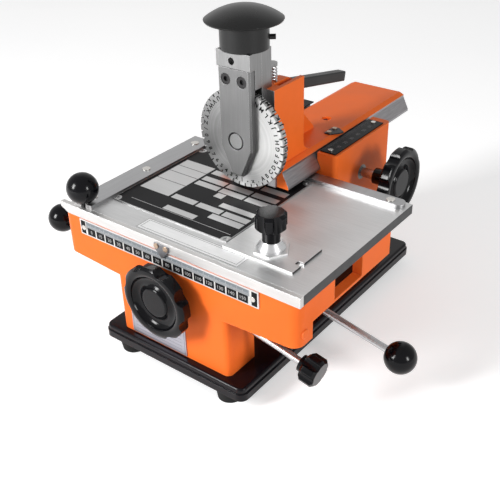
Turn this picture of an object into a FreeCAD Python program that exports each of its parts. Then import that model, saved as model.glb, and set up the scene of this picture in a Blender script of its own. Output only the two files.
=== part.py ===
import FreeCAD, Part
import math
import os
import re

import Sketcher
from FreeCAD import Rotation, Vector

# Hand operated nameplate marking machine, in millimetres.
# X runs along the work table, Y from the operator to the back, Z up.
# The origin lies on the surface that the feet stand on, under the ram in X
# and half way between the front handwheel and the back of the head slide in Y.

doc = FreeCAD.newDocument("marking_machine")
sheet = doc.addObject("Spreadsheet::Sheet", "sizes")

SIZES = [
    # Feet and base plate
    ("foot_high", 10, "height of a rubber foot"),
    ("foot_dia", 23, "diameter of a foot at the base plate"),
    ("foot_taper", 1.5, "how much smaller the radius is at the floor"),
    ("foot_inset_x", 21.5, "foot centre from the side of the base plate"),
    ("foot_inset_y", 12, "foot centre from the front or back of the base plate"),
    ("foot_recess_dia", 12, "recess for the screw head"),
    ("foot_recess_deep", 5.5, "depth of that recess"),
    ("base_wide", 145, "base plate along X"),
    ("base_long", 257.5, "base plate along Y"),
    ("base_thick", 11, "base plate thickness"),
    ("base_shift", 1, "base plate centre to the right of the ram"),
    ("base_front", 149.5, "front edge of the base plate before the origin"),
    ("base_corner", 7, "corner radius of the base plate"),
    ("base_step", 1, "how far the upper tier is set in"),
    ("base_step_high", 5, "height of the upper tier"),
    ("base_edge", 2, "rounding of the upper edge"),
    ("foot_screw_dia", 5, "foot screw shank"),
    ("foot_screw_head", 9, "foot screw head diameter"),
    ("foot_screw_head_high", 3, "foot screw head height"),
    ("foot_screw_bite", 8, "length of the foot screw in the base plate"),
    ("bolt_dia", 6, "bolts that hold the castings to the base plate"),
    ("bolt_head", 10, "bolt head diameter"),
    ("bolt_head_high", 6, "bolt head height"),
    ("bolt_sink", 6.5, "depth of the counterbore under the base plate"),
    ("bolt_bite", 14, "length of a bolt in a casting"),
    ("front_bolt_x", 38, "front bolts from the middle"),
    ("front_bolt_in", 16, "front bolts behind the front face"),
    ("rear_bolt_x", 34, "rear bolts from the middle"),
    ("rear_bolt_in", 45, "rear bolts behind the face of the rear block"),
    # Bed casting
    ("bed_front", 142, "front face before the origin"),
    ("bed_left", 110, "left end of the front wall"),
    ("bed_right", 117, "right end of the front wall"),
    ("bed_deep", 123, "front face to the back of the bed"),
    ("bed_top", 113.2, "height of the bed's upper edge"),
    ("front_wall", 18, "thickness of the front wall"),
    ("front_end_low", 76, "underside of the front wall at its ends"),
    ("front_mid_low", 72.5, "underside of the front wall at the pillar"),
    ("side_wall", 8, "thickness of the side and rear walls"),
    ("side_low", 90, "underside of the side walls"),
    ("wall_round", 8, "vertical rounding at the ends of the front wall"),
    ("window_from", 45, "side window, start behind the front face"),
    ("window_to", 82, "side window, end behind the front face"),
    ("pillar_half", 55.5, "half width of the front pillar"),
    ("pillar_deep", 31, "depth of the front pillar"),
    ("pillar_round", 5, "vertical rounding of the pillar"),
    ("web_half", 24, "half width of the web under the bed"),
    ("web_top", 56, "height of the web"),
    ("lug_thick", 7, "thickness of the bearing lugs on the web"),
    ("lug_from", 66, "front lug behind the front face"),
    ("lug_gap", 14, "space between the two lugs"),
    ("boss_dia", 24, "boss round the front bush"),
    ("fit", 0.05, "radial clearance of a running fit"),
    ("seat", 0.02, "radial clearance of a fixed pin in its hole"),
    ("slide_gap", 0.3, "clearance between sliding castings"),
    ("lap", 1, "how far a feature runs into or past its neighbour, so that they join or cut cleanly"),
    # Rear block
    ("block_half", 49, "half width of the rear block"),
    ("block_front", 10, "face of the rear block behind the origin"),
    ("block_long", 89, "length of the rear block"),
    ("block_top", 141, "height of the jaws"),
    ("block_round", 4, "vertical rounding of the block"),
    ("jaw_edge", 31.2, "inner edge of a jaw at the top"),
    ("gib_thick", 4, "thickness of the gib strip along X"),
    ("gib_screw_dia", 4, "gib screws"),
    ("gib_screw_pitch", 30, "distance between gib screws"),
    ("gib_screw_high", 131, "height of the gib screws"),
    ("gib_screw_out", 5, "length of a gib screw outside the jaw"),
    ("gib_nut", 7, "width of the lock nut on a gib screw"),
    ("plate_thick", 1, "thickness of scale and data plates"),
    ("y_scale_wide", 14.5, "scale plate on the right jaw, along X"),
    ("y_scale_long", 77.6, "scale plate on the right jaw, along Y"),
    ("y_scale_edge", 2.4, "scale plate from the outer face of the jaw"),
    ("y_scale_in", 2.6, "scale plate behind the face of the block"),
    ("cover_wide", 15.5, "cover strip over the gib, along X"),
    ("cover_long", 85, "cover strip over the gib, along Y"),
    ("cover_edge", 3, "cover strip from the outer face of the jaw"),
    ("plate_screw_dia", 3, "shank of the screws in the plates"),
    ("plate_screw_head", 4.2, "head of the screws in the plates"),
    ("plate_screw_high", 0.8, "height of those heads"),
    ("plate_screw_bite", 5, "length of those screws in the metal"),
    ("plate_screw_in", 4.5, "screw from the end of its plate"),
    # Rack drives
    ("gear_module", 1.5, "module of both rack drives"),
    ("pinion_teeth", 23, "teeth of both pinions"),
    ("pinion_wide", 9, "face width of the pinions"),
    ("tooth_top", 1.4, "pitch line to the tip of a tooth"),
    ("tooth_root", 1.8, "pitch line to the root of a tooth"),
    ("tooth_share", 0.45, "tooth thickness as a share of the pitch"),
    ("tooth_angle", 20, "slope of a tooth's flanks, in degrees"),
    ("tooth_bury", 0.5, "root of a pinion tooth in the core"),
    ("rack_bury", 0.2, "root of a rack tooth in the bar"),
    ("shaft_dia", 8, "diameter of both handwheel shafts"),
    ("bush_dia", 13, "outer diameter of the bushes"),
    ("bush_long", 24, "length of the bushes"),
    ("front_axis_x", 0.5, "front handwheel axis to the right of the ram"),
    ("front_axis_z", 76.5, "height of the front handwheel axis"),
    ("pinion_behind", 51, "front pinion behind the front face"),
    ("side_axis_in", 43, "side handwheel axis behind the face of the block"),
    ("side_axis_z", 110.7, "height of the side handwheel axis"),
    ("pinion_room", 1.2, "clearance round the side pinion"),
    ("shaft_blind", 14, "depth of the side shaft beyond its pinion"),
    ("table_rack_teeth", 32, "teeth of the rack under the table"),
    ("table_rack_left", 14, "teeth to the left of the front axis"),
    ("slide_rack_teeth", 19, "teeth of the rack in the slide"),
    ("slide_rack_front", 9, "teeth before the side axis"),
    ("rack_wide", 9, "width of both racks"),
    ("rack_end", 2.4, "rack beyond the middle of its last tooth"),
    ("slide_rack_high", 5, "rack in the slide above its teeth"),
    # Handwheels
    ("wheel_radius", 30.2, "handwheel over its lobes"),
    ("wheel_rim", 10, "thickness of the rim"),
    ("wheel_lobes", 8, "number of lobes"),
    ("scallop_radius", 9, "radius of the hollow between two lobes"),
    ("scallop_deep", 3, "depth of that hollow"),
    ("dish_radius", 22.5, "radius of the dish in the face"),
    ("dish_deep", 5.5, "depth of the dish"),
    ("hub_face", 12.5, "radius of the cap in the middle of the dish"),
    ("hub_face_in", 2, "that cap below the face of the rim"),
    ("rim_edge", 2, "rounding of the rim"),
    ("rim_crest", 25.4, "radius of the highest ring of the rim"),
    ("wheel_turn", 17, "first hollow from the X axis, in degrees"),
    ("front_boss", 13, "radius of the boss of the front handwheel"),
    ("side_boss", 7, "radius of the boss of the side handwheel"),
    ("front_boss_long", 7.2, "boss of the front handwheel"),
    ("side_boss_long", 17.2, "boss of the side handwheel"),
    ("front_wheel_gap", 1.8, "front handwheel from the front face"),
    ("side_wheel_gap", 13.3, "side handwheel from the rear block"),
    ("shaft_in_wheel", 13, "depth of the shaft in the handwheel"),
    # Work table
    ("table_left", 101, "left edge of the table"),
    ("table_right", 120, "right edge of the table"),
    ("table_front", 144, "front edge of the table before the origin"),
    ("table_deep", 152, "table along Y"),
    ("table_low", 113.5, "underside of the table"),
    ("table_thick", 8, "table thickness"),
    ("strip_left", 109, "left end of the front strip"),
    ("strip_thick", 4, "thickness of the front strip"),
    ("strip_bevel", 7, "slope at the left end of the strip"),
    ("rail_thick", 3, "height of the rails"),
    ("rail_left_edge", 98, "left edge of the side rail"),
    ("rail_wide", 20.4, "width of the side rail"),
    ("rear_rail_wide", 11, "width of the rear rail"),
    ("rear_rail_in", 2, "rear rail from the back of the table"),
    ("rear_rail_right", 117, "right end of the rear rail"),
    ("rail_screw_dia", 4, "rail screw shank"),
    ("rail_screw_head", 7, "rail screw head"),
    ("rail_screw_high", 0.5, "head above the rail"),
    ("rail_screw_bite", 5, "rail screw in the table"),
    ("rail_screw_front", 16, "front screw of the side rail behind the table's front edge"),
    ("rail_screw_rear", 14, "rear screw of the side rail before the table's back edge"),
    ("rail_screw_end", 12, "outer screws of the rear rail from its ends"),
    ("rod_dia", 12, "guide rods under the table"),
    ("rod_skin", 2, "wall left before the right end of a guide rod"),
    ("rod_high", 102, "height of the guide rods"),
    ("front_rod_in", 32, "front rod behind the front face"),
    ("rear_rod_in", 104, "rear rod behind the front face"),
    ("carriage_wide", 18, "carriage along Y"),
    ("carriage_long", 66, "carriage along X"),
    ("carriage_left", 21, "left end of the carriages"),
    ("carriage_low", 92.5, "underside of the carriages"),
    ("x_scale_left", 90, "left end of the front scale plate"),
    ("x_scale_long", 175.5, "length of the front scale plate"),
    ("x_scale_high", 13.4, "height of the front scale plate"),
    ("x_scale_low", 98.1, "lower edge of the front scale plate"),
    ("pointer_thick", 1, "thickness of the pointers"),
    ("pointer_wide", 14, "width of the front pointer at its screws"),
    ("pointer_tip", 2, "width of the front pointer at its tip"),
    ("pointer_reach", 5, "front pointer below the strip"),
    ("pointer_screws", 9, "distance between the pointer's screws"),
    ("pointer_left", 0.5, "front pointer to the left of the ram"),
    ("ball_dia", 25, "ball knobs"),
    ("ball_flat", 5, "radius of the flat under a ball knob"),
    ("ball_rod", 6, "rods that carry the ball knobs"),
    ("ball_stud_in", 5.7, "table's ball knob behind the front edge"),
    ("table_ball_high", 137, "height of the table's ball knob"),
    ("table_ball_x", 86.6, "table's ball knob to the left of the ram"),
    ("blank_long", 116, "nameplate blank along X"),
    ("blank_deep", 110, "nameplate blank along Y"),
    ("blank_thick", 1, "nameplate blank thickness"),
    ("blank_in", 26, "nameplate blank behind the table's front edge"),
    ("blank_hole", 3.5, "holes in the corners of the blank"),
    ("blank_hole_in", 2.9, "those holes from the edges"),
    ("data_wide", 57, "blank data plate on the pillar, width"),
    ("data_high", 30, "blank data plate, height"),
    ("data_left", 43, "blank data plate, left edge"),
    ("data_low", 22.5, "blank data plate, lower edge"),
    # Side stop
    ("stop_left", 40, "left edge of the stop plate"),
    ("stop_long", 60, "stop plate along X"),
    ("stop_deep", 36, "stop plate along Y"),
    ("stop_in", 20, "stop plate behind the table's front edge"),
    ("stop_thick", 1.5, "stop plate thickness"),
    ("stop_notch_in", 10, "notch from the front edge of the stop plate"),
    ("stop_notch_wide", 4, "notch along Y"),
    ("stop_notch_deep", 5, "notch along X"),
    ("stop_knob_x", 71, "knob of the side stop"),
    ("stop_knob_in", 36, "that knob behind the table's front edge"),
    ("stop_stud_dia", 6, "stud of the knob"),
    ("stop_head", 13, "head of the T bolt under the table"),
    ("stop_head_high", 3, "height of that head"),
    ("stop_slot_left", 1.8, "slot room for moving to the right"),
    ("stop_slot_right", 8.4, "slot room for moving to the left"),
    ("stop_washer_wide", 28, "washer across its flats"),
    ("stop_washer_thick", 1.5, "washer thickness"),
    ("stop_cone_low", 10.5, "lower radius of the cone under the knob"),
    ("stop_cone_top", 7, "upper radius of that cone"),
    ("stop_cone_high", 6.5, "height of that cone"),
    ("knob_neck", 6.5, "radius of a star knob's neck"),
    ("knob_neck_high", 9, "height of the neck"),
    ("knob_radius", 11.5, "star knob over its points"),
    ("knob_thick", 13, "thickness of the star"),
    ("knob_points", 6, "points of the star"),
    ("knob_hollow", 4, "radius of the hollow between two points"),
    ("knob_bite", 8, "depth of a screw in a star knob"),
    ("knob_edge", 2, "slope at both faces of a star"),
    ("knob_hollow_deep", 2.6, "depth of that hollow"),
    # Head slide
    ("slide_front", 35, "front end of the slide before the origin"),
    ("slide_long", 196, "length of the slide"),
    ("slide_low", 126.2, "underside of the slide"),
    ("slide_land", 2, "vertical part of the flank at the bottom"),
    ("slide_top_land", 2, "vertical part of the flank at the top"),
    ("slide_half_low", 34, "half width at the bottom"),
    ("slide_half_top", 28.5, "half width at the top"),
    ("slide_crown", 2, "top face of the slide above its upper corners"),
    ("crown_half", 24.2, "half width of that face"),
    ("head_front", 37, "front face of the head before the origin"),
    ("head_half", 23, "half width of the head"),
    ("head_deep", 39, "head along Y"),
    ("head_top", 206.5, "height of the head"),
    ("head_fillet", 9, "rounding from the back of the head to the slide"),
    ("guide_deep", 7, "depth of the ram's guide"),
    ("ram_fit", 0.06, "clearance of the ram in its guide"),
    ("lever_slot_low", 180, "bottom of the lever slot"),
    ("lever_thick", 10, "lever between the cheeks"),
    ("lever_side_gap", 0.4, "lever to cheek"),
    ("cheek_thick", 3.5, "outer walls of the head at the top"),
    ("inner_wall", 8.8, "walls beside the lever"),
    ("pocket_deep", 19.5, "depth of the pockets between these walls"),
    ("pocket_front", 11, "front end of the pockets behind the front face"),
    ("rib_half", 3.5, "half width of the rib behind the head"),
    ("rib_high", 42.6, "height of the rib at the head"),
    ("rib_long", 44, "length of the rib"),
    ("rib_flat", 9.7, "rib from the head to that slope"),
    ("rib_knee_high", 38.8, "height of the rib where its long slope starts"),
    ("rib_end_high", 1.5, "height of the rib's back end"),
    ("oil_dia", 8.5, "oil hole in the slide"),
    ("oil_in", 69, "oil hole behind the origin"),
    ("oil_x", 2, "oil hole to the right of the ram"),
    ("oil_deep", 3.5, "depth of the oil hole"),
    ("y_pointer_in", 47.6, "middle of the slide's pointer behind the origin"),
    ("y_pointer_tip_in", 49.8, "its tip behind the origin"),
    ("y_pointer_long", 15, "length of its base along Y"),
    ("y_pointer_base", 5.6, "width of its base along X"),
    ("y_pointer_screws", 8.8, "distance between its screws"),
    ("y_pointer_reach", 2.2, "its tip beyond the slide's edge"),
    # Ram and type wheel
    ("ram_half", 15.5, "half width of the ram"),
    ("bar_front", 42, "front face of the ram's guide bar"),
    ("bar_thick", 12, "thickness of the guide bar"),
    ("bar_low", 131, "lower end of the guide bar"),
    ("ram_top", 237, "top of the ram"),
    ("block_thick", 14, "thickness of the front block"),
    ("front_block_low", 209.5, "lower end of the front block"),
    ("arm_thick", 6, "thickness of the front arm"),
    ("arm_top", 224.4, "top of the front arm"),
    ("arm_half", 15, "half width of the front arm"),
    ("arm_kink", 161, "height at which the arm narrows"),
    ("arm_low", 138, "lower end of the arm"),
    ("arm_tip_half", 5, "half width of the arm's lower end"),
    ("arm_bevel", 1.4, "bevel round the arm"),
    ("arm_screw_x", 7.5, "arm screws from the middle"),
    ("arm_screw_z", 215.6, "height of the arm screws"),
    ("arm_screw_head", 8.5, "head of the arm screws"),
    ("arm_screw_sink", 4, "depth of their counterbores"),
    ("arm_screw_dia", 4, "shank of the arm screws"),
    ("arm_screw_long", 7, "shank length"),
    ("arm_screw_socket", 4, "socket of the arm screws across flats"),
    ("peep_dia", 5.5, "hole in the front block"),
    ("peep_z", 230, "height of that hole"),
    ("peep_left", 1.5, "that hole to the left of the middle"),
    ("peep_deep", 7, "depth of that hole"),
    ("type_z", 167.3, "height of the type wheel's axis"),
    ("type_body", 37.4, "radius under the type blocks"),
    ("type_radius", 40, "radius over the type blocks"),
    ("type_count", 40, "number of type blocks"),
    ("type_wide", 5, "width of a type block"),
    ("type_thick", 5.7, "thickness of the type wheel"),
    ("type_gap", 0.15, "type wheel to the arm"),
    ("type_hub", 10, "radius of the hub behind the wheel"),
    ("type_hub_long", 1.8, "length of that hub"),
    ("axle_dia", 8, "axle of the type wheel"),
    ("axle_long", 18, "length of the axle behind its head"),
    ("axle_head", 6, "radius of the axle's head"),
    ("axle_recess", 7.3, "radius of the recess round that head"),
    ("axle_recess_deep", 1.5, "depth of that recess"),
    ("cap_y", 41.5, "axis of the press cap before the origin"),
    ("neck_radius", 18.4, "neck of the press cap"),
    ("neck_high", 20, "height of the neck"),
    ("cap_radius", 29.4, "radius of the press cap"),
    ("cap_rim", 1, "thickness of the cap's rim"),
    ("cap_dome", 9.8, "rim to the top of the cap"),
    ("cap_stud_dia", 10, "stud under the cap"),
    ("cap_stud_long", 11, "length of that stud"),
    ("neck_pin_dia", 4, "pin in the neck"),
    ("neck_pin_z", 244, "height of that pin"),
    ("neck_pin_in", 9, "inner end of that pin from the axis"),
    ("neck_pin_out", 4.4, "pin outside the neck"),
    ("neck_pin_turn", 38, "direction of that pin from the X axis, in degrees"),
    ("spring_x", 9.6, "return springs from the middle"),
    ("spring_y", 21.4, "return springs before the origin"),
    ("spring_radius", 3.6, "mean radius of a return spring"),
    ("spring_wire", 1.1, "wire diameter"),
    ("spring_turns", 5, "turns of a return spring"),
    ("spring_lug_low", 219, "underside of the spring lugs on the ram"),
    ("spring_lug_thick", 2.5, "thickness of the spring lugs"),
    ("spring_lug_wide", 8.4, "width of a spring lug"),
    # Hand lever
    ("lever_y", 9, "lever pivot before the origin"),
    ("lever_z", 196.1, "height of the lever pivot"),
    ("lever_tilt", 11.8, "slope of the lever, in degrees"),
    ("lever_hub", 9.5, "radius of the lever's hub"),
    ("lever_pin_dia", 6, "pivot pin of the lever"),
    ("nose_reach", 24.5, "pivot to the nose"),
    ("nose_radius", 4, "radius of the nose"),
    ("nose_neck", 5.6, "lever at its nose, across"),
    ("hub_neck", 10.4, "lever at its hub, across"),
    ("nose_room", 0.5, "nose to its notch in the ram"),
    ("notch_deep", 8.5, "depth of that notch"),
    ("grip_from", 10.8, "pivot to the start of the grip"),
    ("grip_long", 94.5, "length of the grip"),
    ("grip_half", 4.4, "half the width of the square grip"),
    ("grip_round", 1.2, "rounding of the grip's long edges"),
    ("grip_bevel", 0.5, "bevel of the grip's free end"),
    ("tang_bite", 30, "depth of the tang in the grip"),
    ("tang_dia", 6, "tang of the lever in the grip"),
    # Side controls
    ("rod_tilt", 12, "slope of the table lever, in degrees"),
    ("table_lever_in", 80, "table lever behind the front face"),
    ("table_lever_x", 14, "pivot of the table lever"),
    ("table_lever_z", 64.3, "height of that pivot"),
    ("table_lever_reach", 143.4, "pivot to the ball knob"),
    ("table_lever_hub", 8, "radius of the lever's hub"),
    ("table_lever_wide", 12, "width of the hub"),
    ("pivot_dia", 6, "pivot pin of the table lever"),
    ("ball_bite", 9, "depth of a rod in its ball knob"),
    ("release_in", 32.6, "release rod behind the front face"),
    ("release_z", 74.5, "height of the release rod"),
    ("release_ball_x", 156, "ball knob of the release rod"),
    ("release_end", 69, "inner end of the release rod"),
    ("release_collar", 13, "collar on the release rod"),
    ("release_collar_x", 86, "outer face of that collar"),
    ("release_collar_long", 6, "length of that collar"),
    ("release_lug_wide", 21, "lug for the release rod along Y"),
    ("release_lug_long", 14, "lug for the release rod along X"),
    ("star_tilt", 12, "slope of the pitch screw, in degrees"),
    ("star_in", 20, "pitch screw behind the front face"),
    ("star_x", 116.5, "star knob of the pitch screw"),
    ("star_z", 45.6, "height of that knob"),
    ("star_rod_dia", 5.6, "diameter of the pitch screw"),
    ("star_rod_long", 93.5, "star knob to the inner end of the screw"),
    ("star_neck_high", 3.5, "neck of that knob"),
]

for line, (alias, value, meaning) in enumerate(SIZES, start=1):
    sheet.set(f"A{line}", alias)
    sheet.set(f"B{line}", str(value))
    sheet.set(f"C{line}", meaning)
    sheet.setAlias(f"B{line}", alias)
aliases = {alias for alias, value, meaning in SIZES}
doc.recompute()

# Places that several pieces share are rules made from the sizes.
rules = {}
WORD = re.compile(r"[A-Za-z_][A-Za-z_0-9]*")
SAME_PLACE = 1e-3
NOTHING = 1e-6


def expand(rule):
    """A rule in plain names, written with the sheet's cells."""
    def swap(match):
        word = match.group(0)
        if word in rules:
            return f"({rules[word]})"
        if word in aliases:
            return f"sizes.{word}"
        return word
    return WORD.sub(swap, str(rule))


def number(rule):
    """The present value of a rule."""
    value = sheet.evalExpression(expand(rule).replace("sizes.", ""))
    return float(getattr(value, "Value", value))


def bind(thing, path, rule):
    thing.setExpression(path, expand(rule))


RULES = [
    ("base_low", "foot_high"),
    ("base_top", "foot_high + base_thick"),
    ("base_mid_y", "base_long / 2 - base_front"),
    ("foot_x", "base_wide / 2 - foot_inset_x"),
    ("foot_y", "base_long / 2 - foot_inset_y"),
    ("front_y", "-bed_front"),
    ("bed_back", "bed_deep - bed_front"),
    ("front_wall_back", "front_wall - bed_front"),
    ("pillar_back", "pillar_deep - bed_front"),
    ("lug_one", "lug_from - bed_front"),
    ("lug_two", "lug_one + lug_thick + lug_gap"),
    ("front_bolt_y", "front_bolt_in - bed_front"),
    ("rear_bolt_y", "rear_bolt_in + block_front"),
    ("pinion_radius", "gear_module * pinion_teeth / 2"),
    ("tooth_pitch", "gear_module * pi"),
    ("pinion_y", "pinion_behind - bed_front"),
    ("side_axis_y", "side_axis_in + block_front"),
    ("table_pitch_z", "front_axis_z + pinion_radius"),
    ("window_sill", "table_pitch_z - tooth_top - slide_gap"),
    ("slide_pitch_z", "side_axis_z + pinion_radius"),
    ("groove_floor", "slide_low - slide_gap"),
    ("flank", "(slide_half_low - slide_half_top) / "
              "(block_top - slide_top_land - slide_low - slide_land)"),
    ("jaw_low_half", "slide_half_low + slide_gap"),
    ("jaw_kink", "slide_low + slide_land + (jaw_low_half - jaw_edge) / flank"),
    ("gib_face", "jaw_low_half + gib_thick - "
                 "flank * (gib_screw_high - gib_screw_dia / 2 - slide_low - slide_land)"),
    ("table_top", "table_low + table_thick"),
    ("rail_top", "table_top + rail_thick"),
    ("table_back", "table_deep - table_front"),
    ("rail_right_edge", "rail_wide - rail_left_edge"),
    ("rear_rail_front", "table_back - rear_rail_in - rear_rail_wide"),
    ("blank_front", "blank_in - table_front"),
    ("stop_front", "stop_in - table_front"),
    ("stop_knob_y", "stop_knob_in - table_front"),
    ("stop_top", "table_top + stop_thick"),
    ("cone_low_z", "stop_top + stop_washer_thick"),
    ("knob_low_z", "cone_low_z + stop_cone_high"),
    ("slide_back", "slide_long - slide_front"),
    ("slide_top", "block_top + slide_crown"),
    ("head_back", "head_deep - head_front"),
    ("guide_y", "guide_deep - head_front"),
    ("lever_room", "lever_thick / 2 + lever_side_gap"),
    ("wall_out", "lever_room + inner_wall"),
    ("pocket_out", "head_half - cheek_thick"),
    ("bar_back", "bar_thick - bar_front"),
    ("ram_front", "bar_front + block_thick"),
    ("arm_back", "arm_thick - ram_front"),
    ("nose_y", "-lever_y - nose_reach * cos(lever_tilt)"),
    ("nose_z", "lever_z + nose_reach * sin(lever_tilt)"),
    ("table_lever_y", "table_lever_in - bed_front"),
    ("release_y", "release_in - bed_front"),
    ("star_y", "star_in - bed_front"),
]
for name, rule in RULES:
    rules[name] = expand(rule)

nodes = []


def keep(thing, label):
    """Name a finished sub-part; its label names its file."""
    thing.Label = label
    nodes.append(thing)
    return thing


def body(label, kept=True):
    thing = doc.addObject("PartDesign::Body", label)
    if kept:
        keep(thing, label)
    return thing


def origin_plane(thing, plane):
    for feature in thing.Origin.OriginFeatures:
        if feature.Role == f"{plane}_Plane":
            return feature
    raise LookupError(plane)


def origin_axis(thing, axis):
    for feature in thing.Origin.OriginFeatures:
        if feature.Role == f"{axis}_Axis":
            return feature
    raise LookupError(axis)


def tie(sketch, geometry, point, across, up):
    """Tie one point of a sketch to two rules."""
    for kind, rule, axis in (("DistanceX", across, -2), ("DistanceY", up, -1)):
        if str(rule) == "0":
            sketch.addConstraint(Sketcher.Constraint("PointOnObject", geometry, point, axis))
            continue
        index = sketch.addConstraint(
            Sketcher.Constraint(kind, -1, 1, geometry, point, number(rule)))
        bind(sketch, f"Constraints[{index}]", rule)


def new_sketch(thing, name, plane, at):
    sketch = thing.newObject("Sketcher::SketchObject", f"{name}_sketch")
    sketch.AttachmentSupport = (origin_plane(thing, plane), [""])
    sketch.MapMode = "FlatFace"
    bind(sketch, "AttachmentOffset.Base.z", f"-({at})" if plane == "XZ" else at)
    return sketch


def draw_outline(sketch, corners):
    """A closed outline. A corner is (across, up); an arc's middle is ("arc", across, up)."""
    points = [c for c in corners if c[0] != "arc"]
    spots = [Vector(number(a), number(b), 0) for a, b in points]
    starts, ends = [], []
    count = len(points)
    middles = {}
    seen = 0
    for corner in corners:
        if corner[0] == "arc":
            middles[seen - 1] = corner[1:]
        else:
            seen += 1
    for i in range(count):
        first, last = spots[i], spots[(i + 1) % count]
        if i in middles:
            middle = Vector(number(middles[i][0]), number(middles[i][1]), 0)
            edge = sketch.addGeometry(Part.Arc(first, middle, last), False)
            forward = sketch.getPoint(edge, 1).distanceToPoint(first) < NOTHING
            mark = sketch.addGeometry(Part.Point(middle), True)
            tie(sketch, mark, 1, *middles[i])
            sketch.addConstraint(Sketcher.Constraint("PointOnObject", mark, 1, edge))
        else:
            edge = sketch.addGeometry(Part.LineSegment(first, last), False)
            forward = True
        starts.append((edge, 1 if forward else 2))
        ends.append((edge, 2 if forward else 1))
    for i in range(count):
        sketch.addConstraint(Sketcher.Constraint("Coincident", *ends[i], *starts[(i + 1) % count]))
        tie(sketch, *starts[i], *points[i])


def draw_circle(sketch, across, up, radius):
    centre = Vector(number(across), number(up), 0)
    ring = sketch.addGeometry(Part.Circle(centre, Vector(0, 0, 1), number(radius)), False)
    tie(sketch, ring, 3, across, up)
    index = sketch.addConstraint(Sketcher.Constraint("Radius", ring, number(radius)))
    bind(sketch, f"Constraints[{index}]", radius)


def grow(thing, name, plane, start, length, sketch):
    """Pad a sketch from start towards the axis's positive side."""
    pad = thing.newObject("PartDesign::Pad", name)
    pad.Profile = sketch
    pad.Reversed = plane == "XZ"
    bind(pad, "Length", length)
    doc.recompute()
    return pad


def carve(thing, name, plane, start, length, sketch):
    """Pocket a sketch from start towards the axis's positive side."""
    before = thing.Shape.Volume
    pocket = thing.newObject("PartDesign::Pocket", name)
    pocket.Profile = sketch
    pocket.Reversed = plane != "XZ"
    bind(pocket, "Length", length)
    doc.recompute()
    if not thing.Shape.Volume < before - NOTHING:
        raise RuntimeError(f"{thing.Label}: {name} cuts nothing")
    return pocket


def prism(thing, name, plane, start, length, corners):
    sketch = new_sketch(thing, name, plane, start)
    draw_outline(sketch, corners)
    return grow(thing, name, plane, start, length, sketch)


def slot(thing, name, plane, start, length, corners):
    sketch = new_sketch(thing, name, plane, start)
    draw_outline(sketch, corners)
    return carve(thing, name, plane, start, length, sketch)


def disc(thing, name, plane, start, length, across, up, radius):
    sketch = new_sketch(thing, name, plane, start)
    draw_circle(sketch, across, up, radius)
    return grow(thing, name, plane, start, length, sketch)


def bore(thing, name, plane, start, length, spots, radius):
    """One or more round holes cut together."""
    sketch = new_sketch(thing, name, plane, start)
    for across, up in spots:
        draw_circle(sketch, across, up, radius)
    return carve(thing, name, plane, start, length, sketch)


def turn(thing, name, corners):
    """Turn a profile (radius, height) about the body's own Z axis."""
    sketch = new_sketch(thing, name, "XZ", 0)
    draw_outline(sketch, corners)
    solid = thing.newObject("PartDesign::Revolution", name)
    solid.Profile = sketch
    solid.ReferenceAxis = (sketch, ["V_Axis"])
    solid.Angle = 360
    doc.recompute()
    return solid


def box(left, right, low, high):
    return [(left, low), (right, low), (right, high), (left, high)]


def round_box(left, right, low, high, radius):
    """A rectangle with rounded corners, anticlockwise from the lower left."""
    part = f"{radius} * (1 - cos(45))"
    return [
        (f"{left} + {radius}", low), (f"{right} - {radius}", low),
        ("arc", f"{right} - {part}", f"{low} + {part}"),
        (right, f"{low} + {radius}"), (right, f"{high} - {radius}"),
        ("arc", f"{right} - {part}", f"{high} - {part}"),
        (f"{right} - {radius}", high), (f"{left} + {radius}", high),
        ("arc", f"{left} + {part}", f"{high} - {part}"),
        (left, f"{high} - {radius}"), (left, f"{low} + {radius}"),
        ("arc", f"{left} + {part}", f"{low} + {part}")]


def edges_of(feature, test):
    found = [f"Edge{i + 1}" for i, edge in enumerate(feature.Shape.Edges) if test(edge)]
    if not found:
        raise LookupError(f"{feature.Name}: no such edge")
    return found


def upright_at(spots):
    """Picks the vertical edges that stand at the given places."""
    places = [(number(a), number(b)) for a, b in spots]

    def test(edge):
        ends = [v.Point for v in edge.Vertexes]
        if len(ends) != 2 or abs(ends[0].z - ends[1].z) < SAME_PLACE:
            return False
        return any(all(math.hypot(p.x - a, p.y - b) < SAME_PLACE for p in ends) for a, b in places)
    return test


def flat_at(height):
    """Picks the edges that lie wholly at one height."""
    level = number(height)
    return lambda edge: all(abs(v.Point.z - level) < SAME_PLACE for v in edge.Vertexes) and (
        abs(edge.CenterOfMass.z - level) < SAME_PLACE)


def soften(thing, name, kind, radius, test):
    """Fillet or chamfer the chosen edges of the body's last feature."""
    last = thing.Tip
    feature = thing.newObject(f"PartDesign::{kind}", name)
    feature.Base = (last, edges_of(last, test))
    bind(feature, "Radius" if kind == "Fillet" else "Size", radius)
    doc.recompute()
    return feature


def ring_of(thing, name, original, count, axis="Z"):
    pattern = thing.newObject("PartDesign::PolarPattern", name)
    pattern.Originals = [original]
    pattern.Axis = (origin_axis(thing, axis), [""])
    pattern.Angle = 360
    bind(pattern, "Occurrences", count)
    thing.Tip = pattern
    doc.recompute()
    return pattern


def row_of(thing, name, original, axis, count, pitch):
    pattern = thing.newObject("PartDesign::LinearPattern", name)
    pattern.Originals = [original]
    pattern.Direction = (origin_axis(thing, axis), [""])
    bind(pattern, "Length", f"({count} - 1) * {pitch}")
    bind(pattern, "Occurrences", count)
    thing.Tip = pattern
    doc.recompute()
    return pattern


def place(thing, spot, turned=None):
    """Bind a piece's place, and its turn (axis, degrees) where it has one."""
    if turned is not None:
        axis, angle = turned
        thing.Placement = FreeCAD.Placement(Vector(0, 0, 0), Rotation(Vector(*axis), number(angle)))
        if WORD.search(angle):
            bind(thing, "Placement.Rotation.Angle", f"({angle}) * 1 deg")
    for letter, rule in zip("xyz", spot):
        if rule != "0":
            bind(thing, f"Placement.Base.{letter}", rule)


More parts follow.
